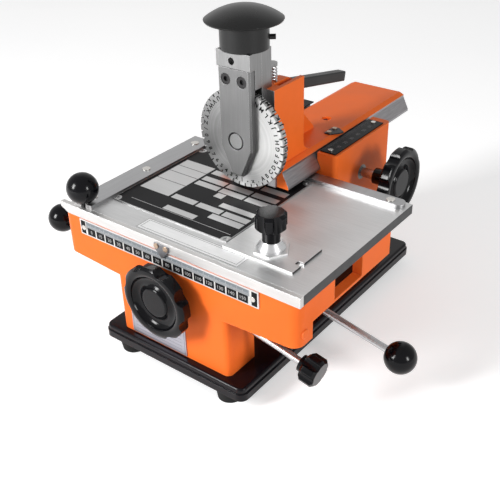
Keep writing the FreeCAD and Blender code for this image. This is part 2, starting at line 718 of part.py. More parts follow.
def group(label, master, spots):
    """Equal loose pieces that share one node. A spot is (x, y, z) or ((x, y, z), turn)."""
    links = []
    for i, spot in enumerate(spots):
        link = doc.addObject("App::Link", f"{label}_{i + 1}")
        link.LinkedObject = master
        if len(spot) == 2:
            place(link, *spot)
        else:
            place(link, spot)
        links.append(link)
    whole = doc.addObject("Part::Compound", label)
    whole.Links = links
    return keep(whole, label)


def rod(label, radius, length, spot, turned=None):
    """A plain round bar along its own Z axis."""
    bar = keep(doc.addObject("Part::Cylinder", label), label)
    bind(bar, "Radius", radius)
    bind(bar, "Height", length)
    place(bar, spot, turned)
    return bar


def screw(name, head, head_high, shank, shank_long):
    """A round headed screw, head above its own origin and shank below."""
    piece = body(name, kept=False)
    turn(piece, f"{name}_turned", [
        ("0", f"-({shank_long})"), (f"{shank} / 2", f"-({shank_long})"), (f"{shank} / 2", "0"),
        (f"{head} / 2", "0"), (f"{head} / 2", head_high), ("0", head_high)])
    return piece


AXIS_X = (1, 0, 0)
AXIS_Y = (0, 1, 0)
TO_BACK = (AXIS_X, "-90")
TO_FRONT = (AXIS_X, "90")
TO_RIGHT = (AXIS_Y, "90")
TO_LEFT = (AXIS_Y, "-90")
DOWN = (AXIS_X, "180")
TOOTH_UP = ((1, 1, 1), "120")

# Base plate, feet and the bolts from below
FEET = [(f"base_shift {a} foot_x", f"base_mid_y {b} foot_y") for a in "-+" for b in "-+"]
BOLTS = [(f"{a}front_bolt_x", "front_bolt_y") for a in "-+"] + [
    (f"{a}rear_bolt_x", "rear_bolt_y") for a in "-+"]


def tier(inset, radius):
    half_x = f"(base_wide / 2 - {inset})"
    half_y = f"(base_long / 2 - {inset})"
    return round_box(f"base_shift - {half_x}", f"base_shift + {half_x}",
                     f"base_mid_y - {half_y}", f"base_mid_y + {half_y}", radius)


base = body("base_plate")
prism(base, "lower_tier", "XY", "base_low", "base_thick - base_step_high",
      tier("0", "base_corner"))
prism(base, "upper_tier", "XY", "base_top - base_step_high", "base_step_high",
      tier("base_step", "(base_corner - base_step)"))
soften(base, "upper_edge", "Fillet", "base_edge", flat_at("base_top"))
bore(base, "foot_holes", "XY", "base_low", "foot_screw_bite + fit", FEET,
     "foot_screw_dia / 2 + seat")
bore(base, "bolt_sinks", "XY", "base_low", "bolt_sink", BOLTS, "bolt_head / 2 + slide_gap")
bore(base, "bolt_holes", "XY", "base_low", "base_thick", BOLTS, "bolt_dia / 2 + seat")

foot = body("rubber_foot", kept=False)
turn(foot, "turned", [
    ("foot_screw_dia / 2 + seat", "foot_recess_deep"), ("foot_recess_dia / 2", "foot_recess_deep"),
    ("foot_recess_dia / 2", "0"), ("foot_dia / 2 - foot_taper", "0"),
    ("foot_dia / 2", "foot_high"), ("foot_screw_dia / 2 + seat", "foot_high")])
group("rubber_feet", foot, [(x, y, "0") for x, y in FEET])

foot_screw = screw("foot_screw", "foot_screw_head", "foot_screw_head_high", "foot_screw_dia",
                   "foot_high - foot_recess_deep + foot_screw_bite")
group("foot_screws", foot_screw, [((x, y, "foot_recess_deep"), DOWN) for x, y in FEET])

bolt = screw("body_bolt", "bolt_head", "bolt_head_high", "bolt_dia",
             "base_thick - bolt_sink + bolt_bite")
group("body_bolts", bolt, [((x, y, "base_low + bolt_sink"), DOWN) for x, y in BOLTS])

# Bed casting: pillar, front wall, side walls with windows, web and lugs
bed = body("bed_casting")
PILLAR = box("-pillar_half", "pillar_half", "front_y", "pillar_back")
prism(bed, "pillar", "XY", "base_top", "front_mid_low + lap - base_top", PILLAR)
soften(bed, "pillar_edges", "Fillet", "pillar_round", upright_at(PILLAR[:2]))
prism(bed, "front_wall", "XZ", "front_y", "front_wall", [
    ("-bed_left", "bed_top"), ("-bed_left", "front_end_low"), ("-pillar_half", "front_mid_low"),
    ("pillar_half", "front_mid_low"), ("bed_right", "front_end_low"), ("bed_right", "bed_top")])
soften(bed, "wall_ends", "Fillet", "wall_round",
       upright_at([("-bed_left", "front_y"), ("bed_right", "front_y")]))
WALLS = [("left", "-bed_left"), ("right", "bed_right - side_wall")]
for side, edge in WALLS:
    prism(bed, f"{side}_wall", "XY", "side_low", "bed_top - side_low",
          box(edge, f"{edge} + side_wall", "front_wall_back - lap", "bed_back"))
prism(bed, "rear_wall", "XY", "side_low", "bed_top - side_low",
      box("-bed_left", "bed_right", "bed_back - side_wall", "bed_back"))
prism(bed, "rear_stay", "XY", "web_top - lap", "side_low - web_top + 2 * lap",
      box("-web_half", "web_half", "bed_back - side_wall", "bed_back"))
prism(bed, "web", "XY", "base_top", "web_top - base_top",
      box("-web_half", "web_half", "pillar_back - lap", "block_front"))
disc(bed, "bush_boss", "XZ", "front_wall_back - lap", "pillar_deep - front_wall + lap",
     "front_axis_x", "front_axis_z", "boss_dia / 2")
LUG_TOP = "front_axis_z + boss_dia / 2"
prism(bed, "shaft_lug", "XZ", "lug_one", "lug_thick", [
    ("front_axis_x - boss_dia / 2", "web_top - lap"), ("front_axis_x - boss_dia / 2", "front_axis_z"),
    ("front_axis_x - boss_dia / 4", LUG_TOP), ("front_axis_x + boss_dia / 4", LUG_TOP),
    ("front_axis_x + boss_dia / 2", "front_axis_z"),
    ("table_lever_x + table_lever_hub", "table_lever_z + table_lever_hub / 2"),
    ("table_lever_x + table_lever_hub", "web_top - lap")])
prism(bed, "pivot_lug", "XZ", "lug_two", "lug_thick", [
    ("table_lever_x - table_lever_hub", "web_top - lap"),
    ("table_lever_x - table_lever_hub", "table_lever_z"),
    ("arc", "table_lever_x", "table_lever_z + table_lever_hub"),
    ("table_lever_x + table_lever_hub", "table_lever_z"),
    ("table_lever_x + table_lever_hub", "web_top - lap")])
prism(bed, "release_lug", "YZ", "-bed_left", "release_lug_long", [
    ("release_y - release_lug_wide / 2", "side_low + lap"),
    ("release_y - release_lug_wide / 2", "release_z"),
    ("arc", "release_y", "release_z - release_lug_wide / 2"),
    ("release_y + release_lug_wide / 2", "release_z"),
    ("release_y + release_lug_wide / 2", "side_low + lap")])
for side, edge in WALLS:
    slot(bed, f"{side}_window", "YZ", f"{edge} - lap", "side_wall + 2 * lap",
         box("window_from - bed_front", "window_to - bed_front", "window_sill", "bed_top + lap"))
RODS = [("front_rod_in - bed_front", "rod_high"), ("rear_rod_in - bed_front", "rod_high")]
bore(bed, "rod_bores", "YZ", "-bed_left - lap", "bed_left + bed_right + lap - rod_skin", RODS,
     "rod_dia / 2 + seat")
SHAFT_SPOT = [("front_axis_x", "front_axis_z")]
bore(bed, "bush_bore", "XZ", "front_y", "bush_long", SHAFT_SPOT, "bush_dia / 2 + seat")
bore(bed, "shaft_bore", "XZ", "front_y", "lug_from + lug_thick + lap", SHAFT_SPOT,
     "shaft_dia / 2 + fit")
bore(bed, "pivot_bore", "XZ", "lug_one - lap", "2 * lug_thick + lug_gap + 2 * lap",
     [("table_lever_x", "table_lever_z")], "pivot_dia / 2 + seat")
bore(bed, "release_bore", "YZ", "-bed_left - lap", "release_lug_long + 2 * lap",
     [("release_y", "release_z")], "ball_rod / 2 + fit")
bore(bed, "bolt_bores", "XY", "base_top", "bolt_bite + slide_gap", BOLTS[:2],
     "bolt_dia / 2 + seat")
screw_bore = bed.newObject("PartDesign::SubtractiveCylinder", "screw_bore")
bind(screw_bore, "Radius", "star_rod_dia / 2 + fit")
bind(screw_bore, "Height", "star_rod_long + slide_gap")
place(screw_bore, ("star_x - (star_rod_long + slide_gap) * cos(star_tilt)", "star_y",
                   "star_z + (star_rod_long + slide_gap) * sin(star_tilt)"),
      (AXIS_Y, "90 + star_tilt"))
doc.recompute()

# Rear block with its dovetail groove, gib, plates and screws
block = body("rear_block")
prism(block, "column", "XZ", "block_front", "block_long", [
    ("-block_half", "base_top"), ("block_half", "base_top"), ("block_half", "block_top"),
    ("jaw_edge", "block_top"), ("jaw_edge", "jaw_kink"),
    ("jaw_low_half", "slide_low + slide_land"), ("jaw_low_half", "groove_floor"),
    ("-jaw_low_half - gib_thick", "groove_floor"),
    ("-jaw_low_half - gib_thick", "slide_low + slide_land"),
    ("-jaw_edge - gib_thick", "jaw_kink"), ("-jaw_edge - gib_thick", "block_top"),
    ("-block_half", "block_top")])
soften(block, "block_edges", "Fillet", "block_round", upright_at(
    box("-block_half", "block_half", "block_front", "block_front + block_long")))
PINION_HALF = "(pinion_wide / 2 + pinion_room)"
ROOM = "(pinion_radius + tooth_top + pinion_room)"
bore(block, "pinion_chamber", "YZ", f"-{PINION_HALF}", f"2 * {PINION_HALF}",
     [("side_axis_y", "side_axis_z")], ROOM)
slot(block, "pinion_slot", "YZ", f"-{PINION_HALF}", f"2 * {PINION_HALF}",
     box(f"side_axis_y - {ROOM}", f"side_axis_y + {ROOM}", "side_axis_z", "groove_floor + lap"))
bore(block, "side_shaft_bore", "YZ", "-pinion_wide / 2 - shaft_blind",
     "pinion_wide / 2 + shaft_blind + block_half", [("side_axis_y", "side_axis_z")],
     "shaft_dia / 2 + fit")
bore(block, "side_bush_bore", "YZ", "block_half - bush_long", "bush_long",
     [("side_axis_y", "side_axis_z")], "bush_dia / 2 + seat")
bore(block, "block_bolt_bores", "XY", "base_top", "bolt_bite + slide_gap", BOLTS[2:],
     "bolt_dia / 2 + seat")
GIB_SCREWS = [(f"block_front + block_long / 2 {step}", "gib_screw_high")
              for step in ("- gib_screw_pitch", "", "+ gib_screw_pitch")]
bore(block, "gib_screw_bores", "YZ", "-block_half", "block_half - jaw_edge - gib_thick",
     GIB_SCREWS, "gib_screw_dia / 2 + seat")

gib = body("gib_strip")
GIB_NEAR = "slide_gap / 2"
GIB_FAR = "(gib_thick + slide_gap / 2)"
prism(gib, "strip", "XZ", "block_front + slide_gap", "block_long - 2 * slide_gap", [
    (f"-slide_half_low - {GIB_NEAR}", "slide_low"),
    (f"-slide_half_low - {GIB_NEAR}", "slide_low + slide_land"),
    (f"-jaw_edge + slide_gap - {GIB_NEAR}", "jaw_kink"),
    (f"-jaw_edge + slide_gap - {GIB_FAR}", "jaw_kink"),
    (f"-slide_half_low - {GIB_FAR}", "slide_low + slide_land"),
    (f"-slide_half_low - {GIB_FAR}", "slide_low")])

gib_screw = body("gib_screw", kept=False)
turn(gib_screw, "turned", [
    ("0", "0"), ("gib_screw_dia / 2", "0"), ("gib_screw_dia / 2", "block_half - gib_face"),
    ("gib_nut / 2", "block_half - gib_face"), ("gib_nut / 2", "block_half - gib_face + gib_nut / 2"),
    ("gib_screw_dia / 2", "block_half - gib_face + gib_nut / 2"),
    ("gib_screw_dia / 2", "block_half - gib_face + gib_screw_out"),
    ("0", "block_half - gib_face + gib_screw_out")])
group("gib_screws", gib_screw, [(("-gib_face", y, z), TO_LEFT) for y, z in GIB_SCREWS])

# Scale plates, cover strip and data plate, with their small screws
plate_screw = screw("plate_screw", "plate_screw_head", "plate_screw_high", "plate_screw_dia",
                    "plate_screw_bite + plate_thick")
PLATE_HOLE = "plate_screw_dia / 2 + seat"


def flat_plate(label, plane, start, thick, outline, holes=()):
    """A sheet metal plate, with screw holes where it has any."""
    plate = body(label)
    prism(plate, f"{label}_sheet", plane, start, thick, outline)
    if holes:
        bore(plate, f"{label}_holes", plane, start, thick, holes, PLATE_HOLE)
    return plate


def screw_bores(thing, name, plane, start, length, holes):
    """Blind holes for the screws of a plate."""
    bore(thing, name, plane, start, length, holes, PLATE_HOLE)


X_SCALE_HOLES = [(x, "x_scale_low + x_scale_high / 2") for x in (
    "plate_screw_in - x_scale_left", "x_scale_long - x_scale_left - plate_screw_in")]
flat_plate("x_scale_plate", "XZ", "front_y - plate_thick", "plate_thick",
           box("-x_scale_left", "x_scale_long - x_scale_left", "x_scale_low",
               "x_scale_low + x_scale_high"), X_SCALE_HOLES)
screw_bores(bed, "x_scale_bores", "XZ", "front_y", "plate_screw_bite + slide_gap", X_SCALE_HOLES)
scale_screws = [((x, "front_y - plate_thick", z), TO_FRONT) for x, z in X_SCALE_HOLES]

flat_plate("data_plate", "XZ", "front_y - plate_thick", "plate_thick",
           box("-data_left", "data_wide - data_left", "data_low", "data_low + data_high"))

JAW_PLATES = [
    ("y_scale", "block_half - y_scale_edge - y_scale_wide", "y_scale_wide", "y_scale_long"),
    ("cover", "cover_edge - block_half", "cover_wide", "cover_long")]
for name, left, wide, long in JAW_PLATES:
    start = "(block_front + y_scale_in)"
    holes = [(f"{left} + {wide} / 2", f"{start} + plate_screw_in"),
             (f"{left} + {wide} / 2", f"{start} + {long} - plate_screw_in")]
    if name == "cover":
        holes = [(f"{left} + plate_screw_in", y) for x, y in holes]
    flat_plate(f"{name}_plate", "XY", "block_top", "plate_thick",
               box(left, f"{left} + {wide}", start, f"{start} + {long}"), holes)
    screw_bores(block, f"{name}_bores", "XY", "block_top - plate_screw_bite - slide_gap",
                "plate_screw_bite + slide_gap", holes)
    scale_screws += [(x, y, "block_top + plate_thick") for x, y in holes]
group("scale_screws", plate_screw, scale_screws)

# Bushes, pinions, racks, shafts and handwheels
bush = body("shaft_bush", kept=False)
turn(bush, "bush_turned", [
    ("shaft_dia / 2 + fit", "0"), ("bush_dia / 2", "0"), ("bush_dia / 2", "bush_long"),
    ("shaft_dia / 2 + fit", "bush_long")])
group("shaft_bushes", bush, [
    (("front_axis_x", "front_y", "front_axis_z"), TO_BACK),
    (("block_half", "side_axis_y", "side_axis_z"), TO_LEFT)])

pinion = body("pinion", kept=False)
ROOT = "(pinion_radius - tooth_root)"
disc(pinion, "pinion_core", "XY", "-pinion_wide / 2", "pinion_wide", "0", "0", ROOT)
HALF = "tooth_share * tooth_pitch / 2"
tooth = prism(pinion, "pinion_tooth", "XY", "-pinion_wide / 2", "pinion_wide", [
    (f"-{HALF} - tooth_root * tan(tooth_angle)", f"{ROOT} - tooth_bury"),
    (f"{HALF} + tooth_root * tan(tooth_angle)", f"{ROOT} - tooth_bury"),
    (f"{HALF} - tooth_top * tan(tooth_angle)", "pinion_radius + tooth_top"),
    (f"-{HALF} + tooth_top * tan(tooth_angle)", "pinion_radius + tooth_top")])
ring_of(pinion, "pinion_teeth_ring", tooth, "pinion_teeth")
bore(pinion, "pinion_bore", "XY", "-pinion_wide / 2", "pinion_wide", [("0", "0")],
     "shaft_dia / 2 + seat")
group("x_pinion", pinion, [(("front_axis_x", "pinion_y", "front_axis_z"), TO_FRONT)])
group("y_pinion", pinion, [(("0", "side_axis_y", "side_axis_z"), TOOTH_UP)])


def rack(label, axis, first, count, centre, pitch_z, top):
    """A toothed bar along an axis; its teeth point down and start at first."""
    bar = body(label)
    along = "XZ" if axis == "X" else "YZ"
    last = f"({first} + ({count} - 1) * tooth_pitch)"
    start = f"{centre} - rack_wide / 2"
    prism(bar, f"{label}_bar", along, start, "rack_wide",
          box(f"{first} - rack_end", f"{last} + rack_end", f"{pitch_z} + tooth_root", top))
    tooth = prism(bar, f"{label}_tooth", along, start, "rack_wide", [
        (f"{first} - {HALF} - (tooth_root + rack_bury) * tan(tooth_angle)",
         f"{pitch_z} + tooth_root + rack_bury"),
        (f"{first} - {HALF} + tooth_top * tan(tooth_angle)", f"{pitch_z} - tooth_top"),
        (f"{first} + {HALF} - tooth_top * tan(tooth_angle)", f"{pitch_z} - tooth_top"),
        (f"{first} + {HALF} + (tooth_root + rack_bury) * tan(tooth_angle)",
         f"{pitch_z} + tooth_root + rack_bury")])
    row_of(bar, f"{label}_teeth_row", tooth, axis, count, "tooth_pitch")


rack("x_rack", "X", "(front_axis_x - (table_rack_left - 0.5) * tooth_pitch)",
     "table_rack_teeth", "pinion_y", "table_pitch_z", "table_low")
rack("y_rack", "Y", "(side_axis_y - (slide_rack_front - 0.5) * tooth_pitch)",
     "slide_rack_teeth", "0", "slide_pitch_z", "slide_pitch_z + tooth_root + slide_rack_high")

# A rounded corner's middle lies about this share of the radius inside both of its sides.
CORNER = "0.3"


def handwheel(label, boss, boss_long):
    """A lobed handwheel: face at its own origin, boss behind the rim."""
    wheel = body(label, kept=False)
    back = f"wheel_rim + {boss_long}"
    turn(wheel, f"{label}_turned", [
        ("0", "hub_face_in"), ("hub_face - hub_face_in", "hub_face_in"),
        ("arc", f"hub_face - {CORNER} * hub_face_in", f"(1 + {CORNER}) * hub_face_in"),
        ("hub_face", "2 * hub_face_in"), ("hub_face", "dish_deep - hub_face_in"),
        ("arc", "(hub_face + dish_radius) / 2", "dish_deep"),
        ("dish_radius", "rim_edge / 2"),
        ("arc", "rim_crest", "0"), ("wheel_radius", "rim_edge"),
        ("wheel_radius", "wheel_rim - rim_edge"),
        ("arc", f"wheel_radius - {CORNER} * rim_edge", f"wheel_rim - {CORNER} * rim_edge"),
        ("wheel_radius - rim_edge", "wheel_rim"), (boss, "wheel_rim"), (boss, back),
        ("shaft_dia / 2 + seat", back), ("shaft_dia / 2 + seat", f"{back} - shaft_in_wheel"),
        ("0", f"{back} - shaft_in_wheel")])
    middle = "(wheel_radius + scallop_radius - scallop_deep)"
    hollow = bore(wheel, f"{label}_hollow", "XY", "0", "wheel_rim",
                  [(f"{middle} * cos(wheel_turn)", f"{middle} * sin(wheel_turn)")],
                  "scallop_radius")
    ring_of(wheel, f"{label}_hollows", hollow, "wheel_lobes")
    return wheel


FRONT_FACE = "(front_y - front_wheel_gap - front_boss_long - wheel_rim)"
SIDE_FACE = "(block_half + side_wheel_gap + side_boss_long + wheel_rim)"
group("front_handwheel", handwheel("front_wheel", "front_boss", "front_boss_long"),
      [(("front_axis_x", FRONT_FACE, "front_axis_z"), TO_BACK)])
group("side_handwheel", handwheel("side_wheel", "side_boss", "side_boss_long"),
      [((SIDE_FACE, "side_axis_y", "side_axis_z"), TO_LEFT)])
FRONT_END = "(front_y - front_wheel_gap - shaft_in_wheel)"
SIDE_END = "(block_half + side_wheel_gap + shaft_in_wheel)"
rod("front_shaft", "shaft_dia / 2", f"lug_one + lug_thick + lap - {FRONT_END}",
    ("front_axis_x", FRONT_END, "front_axis_z"), TO_BACK)
rod("side_shaft", "shaft_dia / 2", f"{SIDE_END} + pinion_wide / 2 + shaft_blind - slide_gap",
    (SIDE_END, "side_axis_y", "side_axis_z"), TO_LEFT)

# Guide rods and carriages under the table
rod_master = doc.addObject("Part::Cylinder", "guide_rod")
bind(rod_master, "Radius", "rod_dia / 2")
bind(rod_master, "Height", "bed_left + bed_right - rod_skin - slide_gap")
group("guide_rods", rod_master, [(("-bed_left", y, z), TO_RIGHT) for y, z in RODS])
carriage = body("carriage", kept=False)
prism(carriage, "carriage_block", "YZ", "-carriage_left", "carriage_long",
      box("-carriage_wide / 2", "carriage_wide / 2", "carriage_low", "table_low"))
bore(carriage, "carriage_bore", "YZ", "-carriage_left", "carriage_long", [("0", "rod_high")],
     "rod_dia / 2 + fit")
group("carriages", carriage, [("0", y, "0") for y, z in RODS])

# Work table with its front strip, rails, pointer and ball knob
table = body("table_plate")
STRIP_BACK = "(strip_thick - table_front)"
prism(table, "table_slab", "XY", "table_low", "table_thick",
      box("-table_left", "table_right", STRIP_BACK, "table_back"))
strip = body("front_strip")
prism(strip, "strip_bar", "XZ", "-table_front", "strip_thick", [
    ("-strip_left", "table_low + table_thick / 2"), ("strip_bevel - strip_left", "table_low"),
    ("table_right", "table_low"), ("table_right", "table_top"), ("-strip_left", "table_top")])
SIDE_RAIL_SCREWS = [("rail_wide / 2 - rail_left_edge", f"-table_front + {y}")
                    for y in ("rail_screw_front", "table_deep / 2",
                              "table_deep - rail_screw_rear")]
REAR_RAIL_SCREWS = [(x, "rear_rail_front + rear_rail_wide / 2")
                    for x in ("rail_right_edge + rail_screw_end", "0",
                              "rear_rail_right - rail_screw_end")]
RAIL_HOLE = "rail_screw_dia / 2 + seat"
side_rail = body("side_rail")
prism(side_rail, "side_rail_bar", "XY", "table_top", "rail_thick",
      box("-rail_left_edge", "rail_right_edge", STRIP_BACK, "rear_rail_front + rear_rail_wide"))
bore(side_rail, "side_rail_holes", "XY", "table_top", "rail_thick", SIDE_RAIL_SCREWS, RAIL_HOLE)
rear_rail = body("rear_rail")
prism(rear_rail, "rear_rail_bar", "XY", "table_top", "rail_thick", [
    ("rail_right_edge", "rear_rail_front"), ("rear_rail_right - rear_rail_wide / 2", "rear_rail_front"),
    ("arc", "rear_rail_right", "rear_rail_front + rear_rail_wide / 2"),
    ("rear_rail_right - rear_rail_wide / 2", "rear_rail_front + rear_rail_wide"),
    ("rail_right_edge", "rear_rail_front + rear_rail_wide")])
bore(rear_rail, "rear_rail_holes", "XY", "table_top", "rail_thick", REAR_RAIL_SCREWS, RAIL_HOLE)
bore(table, "rail_bores", "XY", "table_top - rail_screw_bite - slide_gap",
     "rail_screw_bite + slide_gap", SIDE_RAIL_SCREWS + REAR_RAIL_SCREWS, RAIL_HOLE)
rail_screw = screw("rail_screw", "rail_screw_head", "rail_screw_high", "rail_screw_dia",
                   "rail_thick + rail_screw_bite")
group("rail_screws", rail_screw, [
    (x, y, "rail_top") for x, y in SIDE_RAIL_SCREWS + REAR_RAIL_SCREWS])

POINTER_X = "-pointer_left"
POINTER_HOLES = [(f"{POINTER_X} {a} pointer_screws / 2", "table_low + table_thick / 2")
                 for a in "-+"]
flat_plate("x_pointer", "XZ", "-table_front - pointer_thick", "pointer_thick", [
    (f"{POINTER_X} - pointer_wide / 2", "table_top - table_thick / 4"),
    (f"{POINTER_X} - pointer_wide / 2", "table_low + table_thick / 4"),
    (f"{POINTER_X} - pointer_tip / 2", "table_low - pointer_reach"),
    (f"{POINTER_X} + pointer_tip / 2", "table_low - pointer_reach"),
    (f"{POINTER_X} + pointer_wide / 2", "table_low + table_thick / 4"),
    (f"{POINTER_X} + pointer_wide / 2", "table_top - table_thick / 4")], POINTER_HOLES)
screw_bores(strip, "pointer_bores", "XZ", "-table_front", "strip_thick", POINTER_HOLES)
screw_bores(table, "pointer_deep_bores", "XZ", STRIP_BACK, "plate_screw_bite - strip_thick + lap",
            POINTER_HOLES)
group("x_pointer_screws", plate_screw, [
    ((x, "-table_front - pointer_thick", z), TO_FRONT) for x, z in POINTER_HOLES])

BALL_LOW = "sqrt((ball_dia / 2) ^ 2 - ball_flat ^ 2)"
ball = body("ball_knob", kept=False)
turn(ball, "ball_turned", [
    ("ball_rod / 2 + seat", f"-{BALL_LOW}"), ("ball_flat", f"-{BALL_LOW}"),
    ("arc", "ball_dia / 2", "0"), ("0", "ball_dia / 2"),
    ("0", f"ball_bite + seat - {BALL_LOW}"), ("ball_rod / 2 + seat", f"ball_bite + seat - {BALL_LOW}")])
BALL_SPOT = ("-table_ball_x", "ball_stud_in - table_front", "table_ball_high")
table_ball = body("table_ball")
turn(table_ball, "table_ball_turned", [
    ("0", "table_low - table_ball_high"), ("ball_rod / 2", "table_low - table_ball_high"),
    ("ball_rod / 2", f"-{BALL_LOW}"), ("ball_flat", f"-{BALL_LOW}"),
    ("arc", "ball_dia / 2", "0"), ("0", "ball_dia / 2")])
place(table_ball, BALL_SPOT)
STUD_HOLE = "ball_rod / 2 + seat"
bore(table, "ball_stud_bore", "XY", "table_low", "table_thick", [BALL_SPOT[:2]], STUD_HOLE)
bore(strip, "ball_stud_notch", "XY", "table_low", "table_thick", [BALL_SPOT[:2]], STUD_HOLE)
bore(side_rail, "ball_stud_hole", "XY", "table_top", "rail_thick", [BALL_SPOT[:2]], STUD_HOLE)

blank = body("nameplate_blank")
BLANK_BACK = "(blank_front + blank_deep)"
BLANK_LEFT = "(rail_right_edge + slide_gap / 2)"
prism(blank, "blank_sheet", "XY", "table_top", "blank_thick",
      box(BLANK_LEFT, f"{BLANK_LEFT} + blank_long", "blank_front", BLANK_BACK))
bore(blank, "blank_holes", "XY", "table_top", "blank_thick", [
    (x, y) for x in (f"{BLANK_LEFT} + blank_hole_in", f"{BLANK_LEFT} + blank_long - blank_hole_in")
    for y in ("blank_front + blank_hole_in", f"{BLANK_BACK} - blank_hole_in")], "blank_hole / 2")

# Side stop: plate, T bolt, washer, cone and star knob
STOP_RIGHT = "(stop_left + stop_long)"
NOTCH = "(stop_front + stop_notch_in)"
stop = flat_plate("stop_plate", "XY", "table_top", "stop_thick", [
    ("stop_left", "stop_front"), (STOP_RIGHT, "stop_front"), (STOP_RIGHT, NOTCH),
    (f"{STOP_RIGHT} - stop_notch_deep", NOTCH),
    (f"{STOP_RIGHT} - stop_notch_deep", f"{NOTCH} + stop_notch_wide"),
    (STOP_RIGHT, f"{NOTCH} + stop_notch_wide"), (STOP_RIGHT, "stop_front + stop_deep"),
    ("stop_left", "stop_front + stop_deep")])
STOP_SPOT = ("stop_knob_x", "stop_knob_y")
STUD_FIT = "(stop_stud_dia / 2 + fit)"
bore(stop, "stop_hole", "XY", "table_top", "stop_thick", [STOP_SPOT], "stop_stud_dia / 2 + seat")
for name, low, high, half in (
        ("stop_slot", "table_low", "table_thick", STUD_FIT),
        ("stop_groove", "table_low", "stop_head_high + lap", "(stop_head / 2 + slide_gap)")):
    slot(table, name, "XY", low, high, [
        ("stop_knob_x - stop_slot_left", f"stop_knob_y - {half}"),
        ("stop_knob_x + stop_slot_right", f"stop_knob_y - {half}"),
        ("arc", f"stop_knob_x + stop_slot_right + {half}", "stop_knob_y"),
        ("stop_knob_x + stop_slot_right", f"stop_knob_y + {half}"),
        ("stop_knob_x - stop_slot_left", f"stop_knob_y + {half}"),
        ("arc", f"stop_knob_x - stop_slot_left - {half}", "stop_knob_y")])
stud = body("stop_bolt")
turn(stud, "stop_bolt_turned", [
    ("0", "0"), ("stop_head / 2", "0"), ("stop_head / 2", "stop_head_high"),
    ("stop_stud_dia / 2", "stop_head_high"),
    ("stop_stud_dia / 2", "knob_low_z + knob_bite - table_low - slide_gap"),
    ("0", "knob_low_z + knob_bite - table_low - slide_gap")])
place(stud, (*STOP_SPOT, "table_low + slide_gap"))
washer = body("stop_washer")
prism(washer, "washer_sheet", "XY", "stop_top", "stop_washer_thick",
      box("stop_knob_x - stop_washer_wide / 2", "stop_knob_x + stop_washer_wide / 2",
          "stop_knob_y - stop_washer_wide / 2", "stop_knob_y + stop_washer_wide / 2"))
bore(washer, "washer_hole", "XY", "stop_top", "stop_washer_thick", [STOP_SPOT],
     "stop_stud_dia / 2 + seat")
cone = body("stop_cone")
turn(cone, "cone_turned", [
    (STUD_FIT, "0"), ("stop_cone_low", "0"), ("stop_cone_low", "stop_cone_high / 4"),
    ("stop_cone_top", "stop_cone_high"), (STUD_FIT, "stop_cone_high")])
place(cone, (*STOP_SPOT, "cone_low_z"))


def star_knob(label, neck, hole):
    """A star knob whose neck stands on its own origin."""
    knob = body(label)
    top = f"({neck} + knob_thick)"
    turn(knob, f"{label}_turned", [
        (hole, "0"), ("knob_neck", "0"), ("knob_neck", neck),
        ("knob_radius - knob_edge", neck), ("knob_radius", f"{neck} + knob_edge"),
        ("knob_radius", f"{top} - knob_edge"), ("knob_radius - knob_edge", top), ("0", top),
        ("0", "knob_bite + seat"), (hole, "knob_bite + seat")])
    hollow = bore(knob, f"{label}_hollow", "XY", neck, "knob_thick",
                  [("0", "knob_radius + knob_hollow - knob_hollow_deep")], "knob_hollow")
    ring_of(knob, f"{label}_hollows", hollow, "knob_points")
    return knob


place(star_knob("stop_knob", "knob_neck_high", "stop_stud_dia / 2 + seat"),
      (*STOP_SPOT, "knob_low_z"))

# Head with its dovetail slide, guide, lever slot and rib
head = body("head_slide")
prism(head, "slide_bar", "XZ", "-slide_front", "slide_long", [
    ("-slide_half_low", "slide_low"), ("slide_half_low", "slide_low"),
    ("slide_half_low", "slide_low + slide_land"),
    ("slide_half_top", "block_top - slide_top_land"), ("slide_half_top", "block_top"),
    ("crown_half", "slide_top"), ("-crown_half", "slide_top"), ("-slide_half_top", "block_top"),
    ("-slide_half_top", "block_top - slide_top_land"),
    ("-slide_half_low", "slide_low + slide_land")])
prism(head, "head_column", "XY", "slide_low", "head_top - slide_low",
      box("-head_half", "head_half", "-head_front", "head_back"))
ROUND = "head_fillet * (1 - cos(45))"
prism(head, "head_root", "YZ", "-head_half", "2 * head_half", [
    ("head_back - lap", "slide_top - lap"), ("head_back + head_fillet", "slide_top - lap"),
    ("head_back + head_fillet", "slide_top"),
    ("arc", f"head_back + {ROUND}", f"slide_top + {ROUND}"),
    ("head_back", "slide_top + head_fillet"), ("head_back - lap", "slide_top + head_fillet")])
prism(head, "rib", "YZ", "-rib_half", "2 * rib_half", [
    ("head_back - lap", "slide_top - lap"), ("head_back + rib_long", "slide_top - lap"),
    ("head_back + rib_long", "slide_top + rib_end_high"),
    ("head_back + rib_flat", "slide_top + rib_knee_high"),
    ("head_back", "slide_top + rib_high"), ("head_back - lap", "slide_top + rib_high")])
slot(head, "ram_guide", "XY", "slide_low", "head_top - slide_low",
     box("-ram_half - ram_fit", "ram_half + ram_fit", "-head_front - lap", "guide_y + ram_fit"))
slot(head, "lever_slot", "XY", "lever_slot_low", "head_top - lever_slot_low",
     box("-lever_room", "lever_room", "guide_y - lap", "head_back + lap"))
for side, low, high in (("left", "-pocket_out", "-wall_out"), ("right", "wall_out", "pocket_out")):
    slot(head, f"{side}_pocket", "XY", "head_top - pocket_deep", "pocket_deep",
         box(low, high, "pocket_front - head_front", "head_back + lap"))
BACK_ROUND = "(head_back + lever_y)"
slot(head, "wall_backs", "YZ", "-pocket_out", "2 * pocket_out", [
    ("-lever_y", "head_top"),
    ("arc", f"{BACK_ROUND} * sin(45) - lever_y", f"head_top - {BACK_ROUND} * (1 - cos(45))"),
    ("head_back", f"head_top - {BACK_ROUND}"), ("head_back + lap", f"head_top - {BACK_ROUND}"),
    ("head_back + lap", "head_top + lap"), ("-lever_y", "head_top + lap")])
